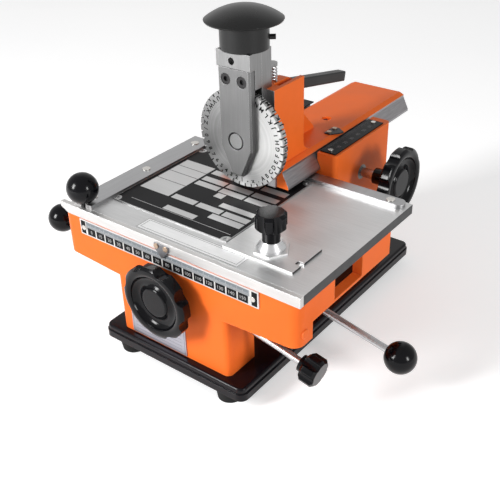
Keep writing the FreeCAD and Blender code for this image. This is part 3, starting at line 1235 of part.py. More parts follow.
bore(head, "lever_pin_bore", "YZ", "-head_half", "head_half + wall_out",
     [("-lever_y", "lever_z")], "lever_pin_dia / 2 + seat")
bore(head, "oil_hole", "XY", "slide_top - oil_deep", "oil_deep", [("oil_x", "oil_in")],
     "oil_dia / 2")
RACK_ENDS = [f"(side_axis_y {a} tooth_pitch)" for a in (
    "- slide_rack_front *", "+ (slide_rack_teeth - slide_rack_front) *")]
slot(head, "rack_seat", "XY", "slide_low",
     "slide_pitch_z + tooth_root + slide_rack_high - slide_low",
     box("-rack_wide / 2 - seat", "rack_wide / 2 + seat", f"{RACK_ENDS[0]} - rack_end",
         f"{RACK_ENDS[1]} + rack_end"))

TIP_X = "slide_half_top + y_pointer_reach"
BASE_RIGHT = "(crown_half - slide_gap)"
BASE_LEFT = f"({BASE_RIGHT} - y_pointer_base)"
NEAR = "(y_pointer_in - y_pointer_long / 2)"
FAR = "(y_pointer_in + y_pointer_long / 2)"
Y_POINTER_HOLES = [(f"{BASE_LEFT} + y_pointer_base / 2", f"y_pointer_in {a} y_pointer_screws / 2")
                   for a in "-+"]
flat_plate("y_pointer", "XY", "slide_top", "pointer_thick", [
    (BASE_LEFT, NEAR), (BASE_RIGHT, NEAR), (TIP_X, "y_pointer_tip_in - pointer_tip / 2"),
    (TIP_X, "y_pointer_tip_in + pointer_tip / 2"), (BASE_RIGHT, FAR), (BASE_LEFT, FAR)],
    Y_POINTER_HOLES)
screw_bores(head, "y_pointer_bores", "XY", "slide_top - plate_screw_bite - slide_gap",
            "plate_screw_bite + slide_gap", Y_POINTER_HOLES)
group("y_pointer_screws", plate_screw, [
    (x, y, "slide_top + pointer_thick") for x, y in Y_POINTER_HOLES])

# Ram, front arm, press cap and return springs
ram = body("ram_block")
ARM_SEAT = "(arm_top + slide_gap)"
prism(ram, "ram_block_body", "YZ", "-ram_half", "2 * ram_half", [
    ("-ram_front", ARM_SEAT), ("arm_back", ARM_SEAT), ("arm_back", "front_block_low"),
    ("-bar_front", "front_block_low"), ("-bar_front", "ram_top"), ("-ram_front", "ram_top")])
bar = body("ram_bar")
prism(bar, "ram_bar_body", "XY", "bar_low", "ram_top - bar_low",
      box("-ram_half", "ram_half", "-bar_front", "bar_back"))
LUG_HALF = "spring_lug_wide / 2"
for side, sign in (("left", "-"), ("right", "")):
    prism(bar, f"{side}_spring_lug", "XY", "spring_lug_low", "spring_lug_thick", [
        (f"{sign}spring_x - {LUG_HALF}", "bar_back - lap"),
        (f"{sign}spring_x + {LUG_HALF}", "bar_back - lap"),
        (f"{sign}spring_x + {LUG_HALF}", "-spring_y"),
        ("arc", f"{sign}spring_x", f"{LUG_HALF} - spring_y"),
        (f"{sign}spring_x - {LUG_HALF}", "-spring_y")])
NOTCH_HALF = "(nose_radius + nose_room)"
slot(bar, "nose_notch", "YZ", "-lever_room - slide_gap", "2 * (lever_room + slide_gap)",
     box("bar_back - notch_deep", "bar_back + lap", f"nose_z - {NOTCH_HALF}",
         f"nose_z + {NOTCH_HALF}"))
for piece, name in ((ram, "block_stud_bore"), (bar, "bar_stud_bore")):
    bore(piece, name, "XY", "ram_top - cap_stud_long - slide_gap", "cap_stud_long + slide_gap",
         [("0", "-cap_y")], "cap_stud_dia / 2 + seat")
bore(ram, "peep_hole", "XZ", "-ram_front", "peep_deep", [("-peep_left", "peep_z")], "peep_dia / 2")

arm = body("front_arm")
ARM = [("-arm_half", "arm_top"), ("-arm_half", "arm_kink"), ("-arm_tip_half", "arm_low"),
       ("arm_tip_half", "arm_low"), ("arm_half", "arm_kink"), ("arm_half", "arm_top")]
prism(arm, "arm_plate", "XZ", "-ram_front", "arm_thick", ARM)
soften(arm, "arm_edges", "Chamfer", "arm_bevel",
       lambda edge: all(abs(v.Point.y + number("ram_front")) < SAME_PLACE for v in edge.Vertexes)
       and abs(edge.CenterOfMass.z - number("arm_top")) > SAME_PLACE)
ARM_SCREWS = [(f"{a}arm_screw_x", "arm_screw_z") for a in "-+"]
bore(arm, "arm_screw_sinks", "XZ", "-ram_front", "arm_screw_sink", ARM_SCREWS,
     "arm_screw_head / 2 + slide_gap")
bore(arm, "arm_screw_holes", "XZ", "-ram_front", "arm_thick", ARM_SCREWS,
     "arm_screw_dia / 2 + seat")
bore(ram, "arm_screw_bores", "XZ", "arm_back", "arm_screw_long - arm_thick + arm_screw_sink + slide_gap",
     ARM_SCREWS, "arm_screw_dia / 2 + seat")
bore(arm, "axle_recess", "XZ", "-ram_front", "axle_recess_deep", [("0", "type_z")], "axle_recess")
bore(arm, "axle_hole", "XZ", "-ram_front", "arm_thick", [("0", "type_z")], "axle_dia / 2 + seat")
cap_screw = body("socket_screw", kept=False)
disc(cap_screw, "socket_head", "XY", "0", "arm_screw_sink - slide_gap", "0", "0",
     "arm_screw_head / 2")
disc(cap_screw, "socket_shank", "XY", "-arm_screw_long", "arm_screw_long + lap / 2", "0", "0",
     "arm_screw_dia / 2")
bore(cap_screw, "socket", "XY", "arm_screw_sink - slide_gap - arm_screw_dia / 2",
     "arm_screw_dia / 2", [("0", "0")], "arm_screw_socket / 2")
group("arm_screws", cap_screw, [
    ((x, "arm_screw_sink - ram_front", z), TO_FRONT) for x, z in ARM_SCREWS])
axle = body("wheel_axle")
turn(axle, "axle_turned", [
    ("0", "-axle_long"), ("axle_dia / 2", "-axle_long"), ("axle_dia / 2", "0"),
    ("axle_head", "0"), ("axle_head", "axle_recess_deep - slide_gap"),
    ("0", "axle_recess_deep - slide_gap")])
place(axle, ("0", "axle_recess_deep - ram_front", "type_z"), TO_FRONT)
bore(bar, "axle_bore", "XZ", "-bar_front",
     "bar_front - ram_front + axle_recess_deep + axle_long + slide_gap", [("0", "type_z")],
     "axle_dia / 2 + seat")

types = body("type_wheel")
disc(types, "type_disc", "XY", "0", "type_thick", "0", "0", "type_body")
block_tooth = prism(types, "type_block", "XY", "0", "type_thick",
                    box("-type_wide / 2", "type_wide / 2", "type_body - lap", "type_radius"))
ring_of(types, "type_blocks", block_tooth, "type_count")
disc(types, "type_hub_disc", "XY", "-type_hub_long", "type_hub_long + lap", "0", "0", "type_hub")
bore(types, "type_bore", "XY", "-type_hub_long", "type_hub_long + type_thick", [("0", "0")],
     "axle_dia / 2 + fit")
place(types, ("0", "arm_back + type_gap + type_thick", "type_z"), TO_FRONT)

cap = body("press_cap")
CAP_RIM = "(neck_high + cap_rim)"
CAP_TOP = f"({CAP_RIM} + cap_dome)"
CAP_ROUND = "((cap_radius ^ 2 + cap_dome ^ 2) / (2 * cap_dome))"
turn(cap, "cap_turned", [
    ("0", "-cap_stud_long"), ("cap_stud_dia / 2", "-cap_stud_long"), ("cap_stud_dia / 2", "0"),
    ("neck_radius", "0"), ("neck_radius", "neck_high"),
    ("cap_radius - cap_rim / 2", "neck_high"), ("cap_radius", CAP_RIM),
    ("arc", "cap_radius / 2", f"{CAP_TOP} - {CAP_ROUND} + sqrt({CAP_ROUND} ^ 2 - cap_radius ^ 2 / 4)"),
    ("0", CAP_TOP)])
place(cap, ("0", "-cap_y", "ram_top"))
pin_bore = cap.newObject("PartDesign::SubtractiveCylinder", "neck_pin_bore")
bind(pin_bore, "Radius", "neck_pin_dia / 2 + seat")
bind(pin_bore, "Height", "neck_radius")
pin_turn = math.radians(number("neck_pin_turn"))
ALONG_PIN = ((-math.sin(pin_turn), math.cos(pin_turn), 0), "90")
place(pin_bore, ("(neck_pin_in - slide_gap) * cos(neck_pin_turn)",
                 "(neck_pin_in - slide_gap) * sin(neck_pin_turn)", "neck_pin_z - ram_top"),
      ALONG_PIN)
rod("neck_pin", "neck_pin_dia / 2", "neck_radius + neck_pin_out - neck_pin_in",
    ("neck_pin_in * cos(neck_pin_turn)", "neck_pin_in * sin(neck_pin_turn) - cap_y",
     "neck_pin_z"), ALONG_PIN)

# Hand lever with its grip and pivot pin
lever = body("hand_lever")
disc(lever, "lever_hub_disc", "YZ", "-lever_thick / 2", "lever_thick", "0", "0", "lever_hub")
disc(lever, "lever_nose", "YZ", "-lever_thick / 2", "lever_thick", "-nose_reach", "0",
     "nose_radius")
prism(lever, "lever_arm", "YZ", "-lever_thick / 2", "lever_thick", [
    ("-nose_reach", "-nose_neck / 2"), ("0", "-hub_neck / 2"),
    ("0", "hub_neck / 2"), ("-nose_reach", "nose_neck / 2")])
disc(lever, "lever_tang", "XZ", "0", "grip_from + tang_bite", "0", "0", "tang_dia / 2")
bore(lever, "lever_bore", "YZ", "-lever_thick / 2", "lever_thick", [("0", "0")],
     "lever_pin_dia / 2 + fit")
place(lever, ("0", "-lever_y", "lever_z"), (AXIS_X, "-lever_tilt"))
grip = body("lever_grip")
TANG_HOLE = "tang_dia / 2 + seat"
GRIP = round_box("-grip_half", "grip_half", "-grip_half", "grip_half", "grip_round")
prism(grip, "grip_bar", "XY", "0", "grip_long", GRIP)
soften(grip, "grip_end", "Chamfer", "grip_bevel", flat_at("grip_long"))
bore(grip, "tang_hole", "XY", "0", "tang_bite + seat", [("0", "0")], TANG_HOLE)
place(grip, ("0", "grip_from * cos(lever_tilt) - lever_y",
             "lever_z - grip_from * sin(lever_tilt)"), (AXIS_X, "-90 - lever_tilt"))
rod("lever_pivot_pin", "lever_pin_dia / 2", "head_half + wall_out",
    ("-head_half", "-lever_y", "lever_z"), TO_RIGHT)

# Table lever, release rod and pitch screw
table_lever = body("table_lever")
ROD_END = f"table_lever_reach - {BALL_LOW} + ball_bite"
disc(table_lever, "table_lever_hub_disc", "XZ", "-table_lever_wide / 2", "table_lever_wide",
     "0", "0", "table_lever_hub")
disc(table_lever, "table_lever_rod", "YZ", "table_lever_hub - lap",
     f"{ROD_END} - table_lever_hub + lap", "0", "0", "ball_rod / 2")
bore(table_lever, "table_lever_bore", "XZ", "-table_lever_wide / 2", "table_lever_wide",
     [("0", "0")], "pivot_dia / 2 + fit")
LEVER_SPOT = ("table_lever_x", "table_lever_y", "table_lever_z")
place(table_lever, LEVER_SPOT, (AXIS_Y, "rod_tilt"))
group("table_lever_ball", ball, [(
    ("table_lever_x + table_lever_reach * cos(rod_tilt)", "table_lever_y",
     "table_lever_z - table_lever_reach * sin(rod_tilt)"), (AXIS_Y, "90 + rod_tilt"))])
rod("table_lever_pin", "pivot_dia / 2", "2 * lug_thick + lug_gap",
    ("table_lever_x", "lug_one", "table_lever_z"), TO_BACK)

release = body("release_rod")
disc(release, "release_bar", "YZ", f"{BALL_LOW} - ball_bite - release_ball_x",
     f"release_ball_x - {BALL_LOW} + ball_bite - release_end", "release_y", "release_z",
     "ball_rod / 2")
disc(release, "release_collar", "YZ", "-release_collar_x", "release_collar_long", "release_y",
     "release_z", "release_collar / 2")
group("release_ball", ball, [(("-release_ball_x", "release_y", "release_z"), TO_LEFT)])

STAR_BACK = "(knob_thick / 2 + star_neck_high)"
rod("pitch_screw", "star_rod_dia / 2",
    f"star_rod_long - {STAR_BACK} + knob_bite",
    ("star_x - star_rod_long * cos(star_tilt)", "star_y",
     "star_z + star_rod_long * sin(star_tilt)"), (AXIS_Y, "90 + star_tilt"))
place(star_knob("pitch_knob", "star_neck_high", "star_rod_dia / 2 + seat"),
      (f"star_x - {STAR_BACK} * cos(star_tilt)", "star_y",
       f"star_z + {STAR_BACK} * sin(star_tilt)"), (AXIS_Y, "90 + star_tilt"))


# Return springs: one unbroken wire each, a chain of arcs that share their tangents
def arc_between(start, corner, end):
    """An arc that is tangent to both legs of an isosceles corner."""
    middle = (start + end) * 0.5
    chord = (end - start).Length / 2
    drop = (corner - middle).Length
    radius = chord * (corner - start).Length / drop
    rise = radius - math.sqrt(radius ** 2 - chord ** 2)
    return Part.Arc(start, middle + (corner - middle) * (rise / drop), end)


def coil_path(radius, pitch, turns, low):
    """A helix as pairs of arcs, one pair for every quarter turn."""
    def at(angle):
        spot = Vector(radius * math.cos(angle), radius * math.sin(angle),
                      low + pitch * angle / (2 * math.pi))
        heading = Vector(-radius * math.sin(angle), radius * math.cos(angle),
                         pitch / (2 * math.pi))
        return spot, heading.normalize()
    arcs = []
    for quarter in range(4 * turns):
        first, ahead = at(quarter * math.pi / 2)
        last, behind = at((quarter + 1) * math.pi / 2)
        span = last - first
        total = ahead + behind
        slack = 2 * (1 - ahead.dot(behind))
        reach = (-span.dot(total) + math.sqrt(span.dot(total) ** 2 + slack * span.dot(span))) / slack
        leave = first + ahead * reach
        arrive = last - behind * reach
        meet = (leave + arrive) * 0.5
        arcs.append(arc_between(first, leave, meet))
        arcs.append(arc_between(meet, arrive, last))
    return Part.Wire([arc.toShape() for arc in arcs])


wire = number("spring_wire")
radius = number("spring_radius")
pitch = number("(spring_lug_low - head_top - spring_wire) / spring_turns")
path = coil_path(radius, pitch, int(number("spring_turns")), wire / 2)
ahead = Vector(0, radius, pitch / (2 * math.pi))
ring = Part.Wire([Part.Circle(Vector(radius, 0, wire / 2), ahead, wire / 2).toShape()])
coil = doc.addObject("Part::Feature", "return_spring")
coil.Shape = Part.Wire(path.OrderedEdges).makePipeShell([ring], True, False)
group("return_springs", coil, [(x, "-spring_y", "head_top") for x in ("-spring_x", "spring_x")])
POINTS_A_TURN = 60
points = path.discretize(Number=POINTS_A_TURN * int(number("spring_turns")))
nearest = min(point.distanceToPoint(other) for i, point in enumerate(points)
              for other in points[i + POINTS_A_TURN // 2:])
print("return springs: least gap of a spring to itself", round(nearest - wire, 2), "mm")

# Check the whole document, then write one file for every sub-part
doc.recompute()
failed = [thing.Name for thing in doc.Objects if {"Invalid", "Error"} & set(thing.State)]
if failed:
    raise RuntimeError(f"not computed: {failed}")
for node in nodes:
    shape = node.Shape
    if shape.isNull() or not shape.isValid() or not shape.Solids:
        raise RuntimeError(f"{node.Label}: bad shape")
    if any(solid.Volume <= 0 for solid in shape.Solids):
        raise RuntimeError(f"{node.Label}: a solid is inside out")
os.makedirs("parts", exist_ok=True)
for node in nodes:
    node.Shape.exportStep(f"parts/{node.Label}.step")
print(len(nodes), "sub-parts written")
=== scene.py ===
# %% [markdown]
# # A bench machine that marks metal nameplates
# The solids of the machine come from its CAD model and stay as they are. This lesson gives them their
# paint, steel and plastic, adds what is printed, engraved or stuck on, and makes three small pieces as
# surfaces of its own: the return springs, a washer and a plug.

# %% Load the solids
import math
import bpy
import numpy as np
from mathutils import Matrix, Vector


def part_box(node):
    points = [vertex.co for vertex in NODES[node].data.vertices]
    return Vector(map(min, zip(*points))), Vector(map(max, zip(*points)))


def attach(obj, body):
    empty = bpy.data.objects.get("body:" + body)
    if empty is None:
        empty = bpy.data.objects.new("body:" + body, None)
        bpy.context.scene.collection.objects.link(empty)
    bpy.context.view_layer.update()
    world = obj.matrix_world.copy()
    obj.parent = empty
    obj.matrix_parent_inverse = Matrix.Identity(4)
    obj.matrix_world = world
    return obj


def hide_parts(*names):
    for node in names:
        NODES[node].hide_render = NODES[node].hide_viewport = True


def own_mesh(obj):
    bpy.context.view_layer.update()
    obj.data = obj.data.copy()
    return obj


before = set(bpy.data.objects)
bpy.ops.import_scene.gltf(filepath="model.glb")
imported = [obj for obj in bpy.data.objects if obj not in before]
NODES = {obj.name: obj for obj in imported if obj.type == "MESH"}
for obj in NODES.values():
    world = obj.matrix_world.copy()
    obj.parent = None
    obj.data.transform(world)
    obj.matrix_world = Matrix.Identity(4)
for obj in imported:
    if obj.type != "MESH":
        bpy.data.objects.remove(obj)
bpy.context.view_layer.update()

MM = 0.001

# %% [markdown]
# ## Places
# Everything printed lies on a face of a solid, so its place is read from that solid's box. A helper gives
# the box in millimetres, which is the unit that a machine maker thinks in. A plane is a corner and two
# directions, rightward and upward for someone who reads the print.

# %% Boxes in millimetres
RIGHT, BACK, UP = np.eye(3)
PRINT_LIFT = 0.05


def box_mm(node):
    """Lowest and highest corner of a solid, in millimetres, as two arrays."""
    low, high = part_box(node)
    return np.array(low) / MM, np.array(high) / MM


print("table top at", round(box_mm("table_plate")[1][2], 2), "mm, prints lie", PRINT_LIFT, "mm above")

# %% [markdown]
# ## Meshes from arrays
# A printed mark is a small flat patch. Hundreds of them are worked out at once as an array of corners and
# become one mesh, which is quicker and lighter than an object for each.

# %% Array helpers
def make_mesh(name, points_mm, faces):
    """A mesh object at the origin from points in millimetres and lists of corner numbers."""
    mesh = bpy.data.meshes.new(name)
    mesh.from_pydata((np.asarray(points_mm) * MM).tolist(), [], [list(map(int, f)) for f in faces])
    mesh.update()
    piece = bpy.data.objects.new(name, mesh)
    bpy.context.scene.collection.objects.link(piece)
    return piece


def on_plane(flat, origin, right, up):
    """Flat points (x, y) carried to space: origin + x * right + y * up."""
    flat = np.asarray(flat, float)
    return np.asarray(origin) + flat[..., :1] * np.asarray(right) + flat[..., 1:2] * np.asarray(up)


def patches(rectangles):
    """Corners and faces of flat rectangles (left, low, right, high), four corners each, turning left."""
    r = np.asarray(rectangles, float).reshape(-1, 4)
    corners = r[:, [0, 1, 2, 1, 2, 3, 0, 3]].reshape(-1, 2)
    return corners, np.arange(len(corners)).reshape(-1, 4)


def gathered(parts):
    """Several (points, faces) pairs as one pair: later faces count on from the earlier points."""
    starts = np.cumsum([0] + [len(points) for points, _ in parts[:-1]])
    faces = [[corner + start for corner in face] for (_, some), start in zip(parts, starts) for face in some]
    return np.concatenate([points for points, _ in parts]), faces


print("array helpers ready")

# %% [markdown]
# Letters could be drawn by hand, but Blender's own font is plain and clear. A text object is filled, its
# faces are kept, and the object goes. The font's capitals are 0.69 of its size high.

# %% Letters as flat faces
CAPITAL = 0.69


def letter_faces(words, high, weight=0.0):
    """Faces of a line of text, centred on the origin of its plane: capital height, added weight."""
    curve = bpy.data.curves.new("letters", "FONT")
    curve.body = words
    curve.resolution_u = 3
    curve.offset = weight
    shape = bpy.data.objects.new("letters", curve)
    mesh = bpy.data.meshes.new_from_object(shape)
    flat = np.array([v.co[:2] for v in mesh.vertices], float)
    faces = [tuple(f.vertices) for f in mesh.polygons]
    bpy.data.objects.remove(shape)
    bpy.data.curves.remove(curve)
    bpy.data.meshes.remove(mesh)
    middle = (flat.min(0) + flat.max(0)) / 2
    middle[1] = CAPITAL / 2
    return (flat - middle) * (high / CAPITAL), faces


print("the letter A has", len(letter_faces("A", 3.0)[1]), "faces")

# %% [markdown]
# ## Camera, lamps and floor
# The camera stands where the picture was taken from: to the right of the machine's front and above it.
# Its place was worked out from the corners of the scales and of the table.

# %% Camera
CAMERA_AT = Vector((353.4, -487.8, 420.5)) * MM
CAMERA_AZIMUTH = 38.422
CAMERA_HEIGHT_ANGLE = 31.499
CAMERA_ROLL = -1.767
LENS = 57.54
SENSOR_WIDE = 36.0

camera = bpy.data.objects.new("camera", bpy.data.cameras.new("camera"))
camera.data.lens = LENS
camera.data.sensor_width = SENSOR_WIDE
camera.data.sensor_fit = "HORIZONTAL"
camera.data.clip_start = 0.01
turn = Matrix.Rotation(math.radians(CAMERA_AZIMUTH), 4, "Z")
tip = Matrix.Rotation(math.radians(90 - CAMERA_HEIGHT_ANGLE), 4, "X")
roll = Matrix.Rotation(math.radians(CAMERA_ROLL), 4, "Z")
camera.matrix_world = Matrix.Translation(CAMERA_AT) @ turn @ tip @ roll
bpy.context.scene.collection.objects.link(camera)
bpy.context.scene.camera = camera
print("camera", round(CAMERA_AT.length, 3), "m from the origin")

# %% [markdown]
# The lamps are large and soft, as in a product studio. The key stands low in front, so that upright faces
# turned to the operator are the brightest; a weaker lamp lights the right side, and a broad panel behind
# gives the table something pale to mirror. A lamp of P watts at d metres lights a face by P / (pi d d).

# %% Lamps
AIM = Vector((0, 0, 0.12))


def soft_lamp(name, azimuth, height_angle, away, wide, tall, level):
    """An oblong lamp aimed at the machine. Level 1 makes a white face turned to it render white."""
    a, e = math.radians(azimuth), math.radians(height_angle)
    toward = Vector((math.sin(a) * math.cos(e), -math.cos(a) * math.cos(e), math.sin(e)))
    lamp = bpy.data.objects.new(name, bpy.data.lights.new(name, "AREA"))
    lamp.data.shape = "RECTANGLE"
    lamp.data.size = wide
    lamp.data.size_y = tall
    lamp.data.energy = level * math.pi ** 2 * away ** 2
    lamp.matrix_world = (Matrix.Translation(AIM + toward * away)
                         @ toward.to_track_quat("Z", "Y").to_matrix().to_4x4())
    bpy.context.scene.collection.objects.link(lamp)
    return lamp


soft_lamp("key_lamp", -24, 24, 1.5, 0.36, 0.62, 1.05)
soft_lamp("right_lamp", 80, 18, 1.7, 0.30, 0.55, 0.42)
soft_lamp("back_panel", -141, 34, 2.2, 2.2, 2.2, 0.09)
print("three lamps")

# %% [markdown]
# ## Nodes, written shortly
# A shader is a small graph. One helper adds a node, sets what is a number and joins what is a socket, so
# that each effect below reads as a list of steps.

# %% Node helper
def add(tree, kind, inputs=None, **settings):
    """A new shader node: settings are its options, inputs are numbers, colours or sockets to join."""
    made = tree.nodes.new(kind)
    for option, value in settings.items():
        setattr(made, option, value)
    for key, value in (inputs or {}).items():
        if isinstance(value, bpy.types.NodeSocket):
            tree.links.new(value, made.inputs[key])
        else:
            made.inputs[key].default_value = value
    return made


def maths(tree, operation, first, second=0.0, third=0.0, clamp=False):
    """The result of one sum on sockets or numbers."""
    return add(tree, "ShaderNodeMath", {0: first, 1: second, 2: third}, operation=operation,
               use_clamp=clamp).outputs[0]


def ramp(tree, value, start, end, low=0.0, high=1.0):
    """Value from start to end carried to low to high, and held there beyond."""
    return add(tree, "ShaderNodeMapRange", {"Value": value, "From Min": start, "From Max": end,
                                            "To Min": low, "To Max": high}).outputs["Result"]


def mixed(tree, factor, first, second):
    """A colour between two, which are colours or sockets."""
    return add(tree, "ShaderNodeMix", {"Factor": factor, 6: first, 7: second}, data_type="RGBA").outputs[2]


print("node helpers ready")

# %% [markdown]
# The world lights the machine from all sides, weakly, so that the lamps still cast soft shadows. As a
# background it is paler: the eye finds it so, and so does metal that mirrors it. Light Path tells the two
# apart, which changes the background without any more light on the machine.

# %% World
WORLD_LEVEL = 0.26
SKY_SEEN = 0.60
WHITE = (1.0, 1.0, 1.0, 1.0)


def seen_by_eye(tree):
    """1 for rays from the camera, and for mirrored or refracted ones, so that metal shows the same."""
    ray = add(tree, "ShaderNodeLightPath").outputs
    return maths(tree, "ADD", ray["Is Camera Ray"],
                 maths(tree, "ADD", ray["Is Glossy Ray"], ray["Is Transmission Ray"]), clamp=True)


world = bpy.data.worlds.new("studio")
bpy.context.scene.world = world
world.use_nodes = True
sky = world.node_tree
background = sky.nodes["Background"].inputs
background["Color"].default_value = WHITE
sky.links.new(maths(sky, "MULTIPLY_ADD", seen_by_eye(sky), SKY_SEEN - WORLD_LEVEL, WORLD_LEVEL),
              background["Strength"])
bpy.context.scene.view_settings.view_transform = "Standard"
print("the sky is", SKY_SEEN, "to the eye, and lights at", WORLD_LEVEL)

# %% [markdown]
# An effect that many finishes share is a node group, which is built once and placed in each material.

# %% New node group
def new_group(name, inputs, outputs):
    """An empty shader node group with named inputs (name: default) and outputs (name: kind)."""
    tree = bpy.data.node_groups.new(name, "ShaderNodeTree")
    for key, value in inputs.items():
        kind = "NodeSocketFloat" if isinstance(value, float) else "NodeSocketVector"
        tree.interface.new_socket(key, in_out="INPUT", socket_type=kind).default_value = value
    for key, kind in outputs.items():
        tree.interface.new_socket(key, in_out="OUTPUT", socket_type="NodeSocket" + kind)
    return tree, tree.nodes.new("NodeGroupInput").outputs, tree.nodes.new("NodeGroupOutput").inputs


def use(tree, group, inputs):
    """A node group placed in a material; returns its outputs."""
    return add(tree, "ShaderNodeGroup", inputs, node_tree=group).outputs


print("group helpers ready")

# %% [markdown]
# ## Effects shared by many finishes
# Paint, steel and plastic all show their edges: paint is thin there, steel is polished by hands, and on
# paint and steel the lighter edge colour is also a painted highlight. The Bevel node gives the normal a
# rounded edge would have. Where it differs from the face's own, there is an edge.

# %% Edge group
edge_tree, given, result = new_group("edge_wear_and_highlight", {"Vector": (0.0, 0.0, 0.0), "Radius": 0.0005,
                                                    "Raggedness": 0.4},
                                     {"Mask": "Float", "Normal": "Vector"})
rounded = add(edge_tree, "ShaderNodeBevel", {"Radius": given["Radius"]}, samples=4).outputs["Normal"]
face = add(edge_tree, "ShaderNodeNewGeometry").outputs["Normal"]
along = add(edge_tree, "ShaderNodeVectorMath", {0: rounded, 1: face},
            operation="DOT_PRODUCT").outputs["Value"]
bent = maths(edge_tree, "SUBTRACT", 1.0, along)
chips = add(edge_tree, "ShaderNodeTexNoise", {"Vector": given["Vector"], "Scale": 260.0, "Detail": 3.0})
ragged = ramp(edge_tree, chips.outputs["Fac"], 0.35, 0.65, -0.5, 0.5)
shifted = maths(edge_tree, "MULTIPLY_ADD", ragged, given["Raggedness"], ramp(edge_tree, bent, 0.0, 0.12))
edge_tree.links.new(ramp(edge_tree, maths(edge_tree, "MULTIPLY", shifted, ramp(edge_tree, bent, 0.02, 0.05)),
                         0.1, 0.9), result["Mask"])
edge_tree.links.new(rounded, result["Normal"])
print("edge group:", len(edge_tree.nodes), "nodes")

# %% [markdown]
# Rolled and ground steel has fine lines in one direction. Noise that is stretched along the lines, twice,
# once fine and once broad, gives both the lines and the slow change of tone between them.

# %% Brushing group
brush_tree, given, result = new_group("brushing", {"Vector": (0.0, 0.0, 0.0), "Stretch": (1.0, 1.0, 1.0),
                                                   "Scale": 900.0}, {"Lines": "Float", "Bands": "Float"})
pulled = add(brush_tree, "ShaderNodeVectorMath", {0: given["Vector"], 1: given["Stretch"]},
             operation="MULTIPLY").outputs[0]
fine = add(brush_tree, "ShaderNodeTexNoise", {"Vector": pulled, "Scale": given["Scale"], "Detail": 3.0,
                                              "Roughness": 0.65})
broad = add(brush_tree, "ShaderNodeTexNoise", {"Vector": pulled, "Detail": 2.0,
                                               "Scale": maths(brush_tree, "MULTIPLY", given["Scale"], 0.12)})
brush_tree.links.new(ramp(brush_tree, fine.outputs["Fac"], 0.3, 0.7), result["Lines"])
brush_tree.links.new(ramp(brush_tree, broad.outputs["Fac"], 0.35, 0.65), result["Bands"])
print("brushing group:", len(brush_tree.nodes), "nodes")

# %% [markdown]
# Nothing handled is evenly clean: slow cloudy patches change tone and gloss, and a few specks lie on top.

# %% Patina group
patina_tree, given, result = new_group("patina", {"Vector": (0.0, 0.0, 0.0), "Scale": 25.0,
                                                  "Speck Scale": 900.0},
                                       {"Clouds": "Float", "Specks": "Float", "Ripple": "Float"})
cloudy = add(patina_tree, "ShaderNodeTexNoise", {"Vector": given["Vector"], "Scale": given["Scale"],
                                                 "Detail": 4.0, "Roughness": 0.55})
specks = add(patina_tree, "ShaderNodeTexVoronoi", {"Vector": given["Vector"], "Scale": given["Speck Scale"]})
ripple = add(patina_tree, "ShaderNodeTexNoise", {"Vector": given["Vector"], "Detail": 1.0,
                                                 "Scale": maths(patina_tree, "MULTIPLY",
                                                                given["Speck Scale"], 0.5)})
patina_tree.links.new(ramp(patina_tree, cloudy.outputs["Fac"], 0.3, 0.7), result["Clouds"])
patina_tree.links.new(ramp(patina_tree, specks.outputs["Distance"], 0.16, 0.08), result["Specks"])
patina_tree.links.new(ripple.outputs["Fac"], result["Ripple"])
print("patina group:", len(patina_tree.nodes), "nodes")

# %% [markdown]
# ## Finishes
# Each finish is one function: it makes a material with a single Principled shader and places the shared
# effects in it with its own values. Values that are the same all over are set on the shader itself.

# %% New material
def new_finish(name, **values):
    """A material: its name, and values for the Principled sockets, with _ written for the spaces."""
    material = bpy.data.materials.new(name)
    material.use_nodes = True
    tree = material.node_tree
    shader = tree.nodes["Principled BSDF"]
    for socket, value in values.items():
        shader.inputs[socket.replace("_", " ")].default_value = value
    place = add(tree, "ShaderNodeTexCoord").outputs["Object"]
    return material, tree, shader, place


def bumped(tree, shader, height, depth_mm, normal):
    """Joins a height, of the given depth in millimetres, to the shader's Normal."""
    bump = add(tree, "ShaderNodeBump", {"Height": height, "Distance": depth_mm * MM, "Strength": 1.0,
                                        "Normal": normal})
    tree.links.new(bump.outputs["Normal"], shader.inputs["Normal"])


def tone(colour, share):
    """A colour made lighter or darker by a share, as red, green, blue and 1."""
    return (*[min(1.0, part * share) for part in colour[:3]], 1.0)


print("finish helpers ready")

# %% [markdown]
# The castings are sprayed with orange enamel. It is glossy with a slight orange peel, and lighter over an
# edge, where it is thin and where the lighter colour is also a painted highlight. The faces that slide are
# bare ground steel: a mask marks them by place and direction.

# %% Enamel
ENAMEL = (0.90, 0.160, 0.024)
THIN_AND_LIT_ENAMEL = (0.98, 0.34, 0.12)
GROUND = (0.35, 0.34, 0.35)


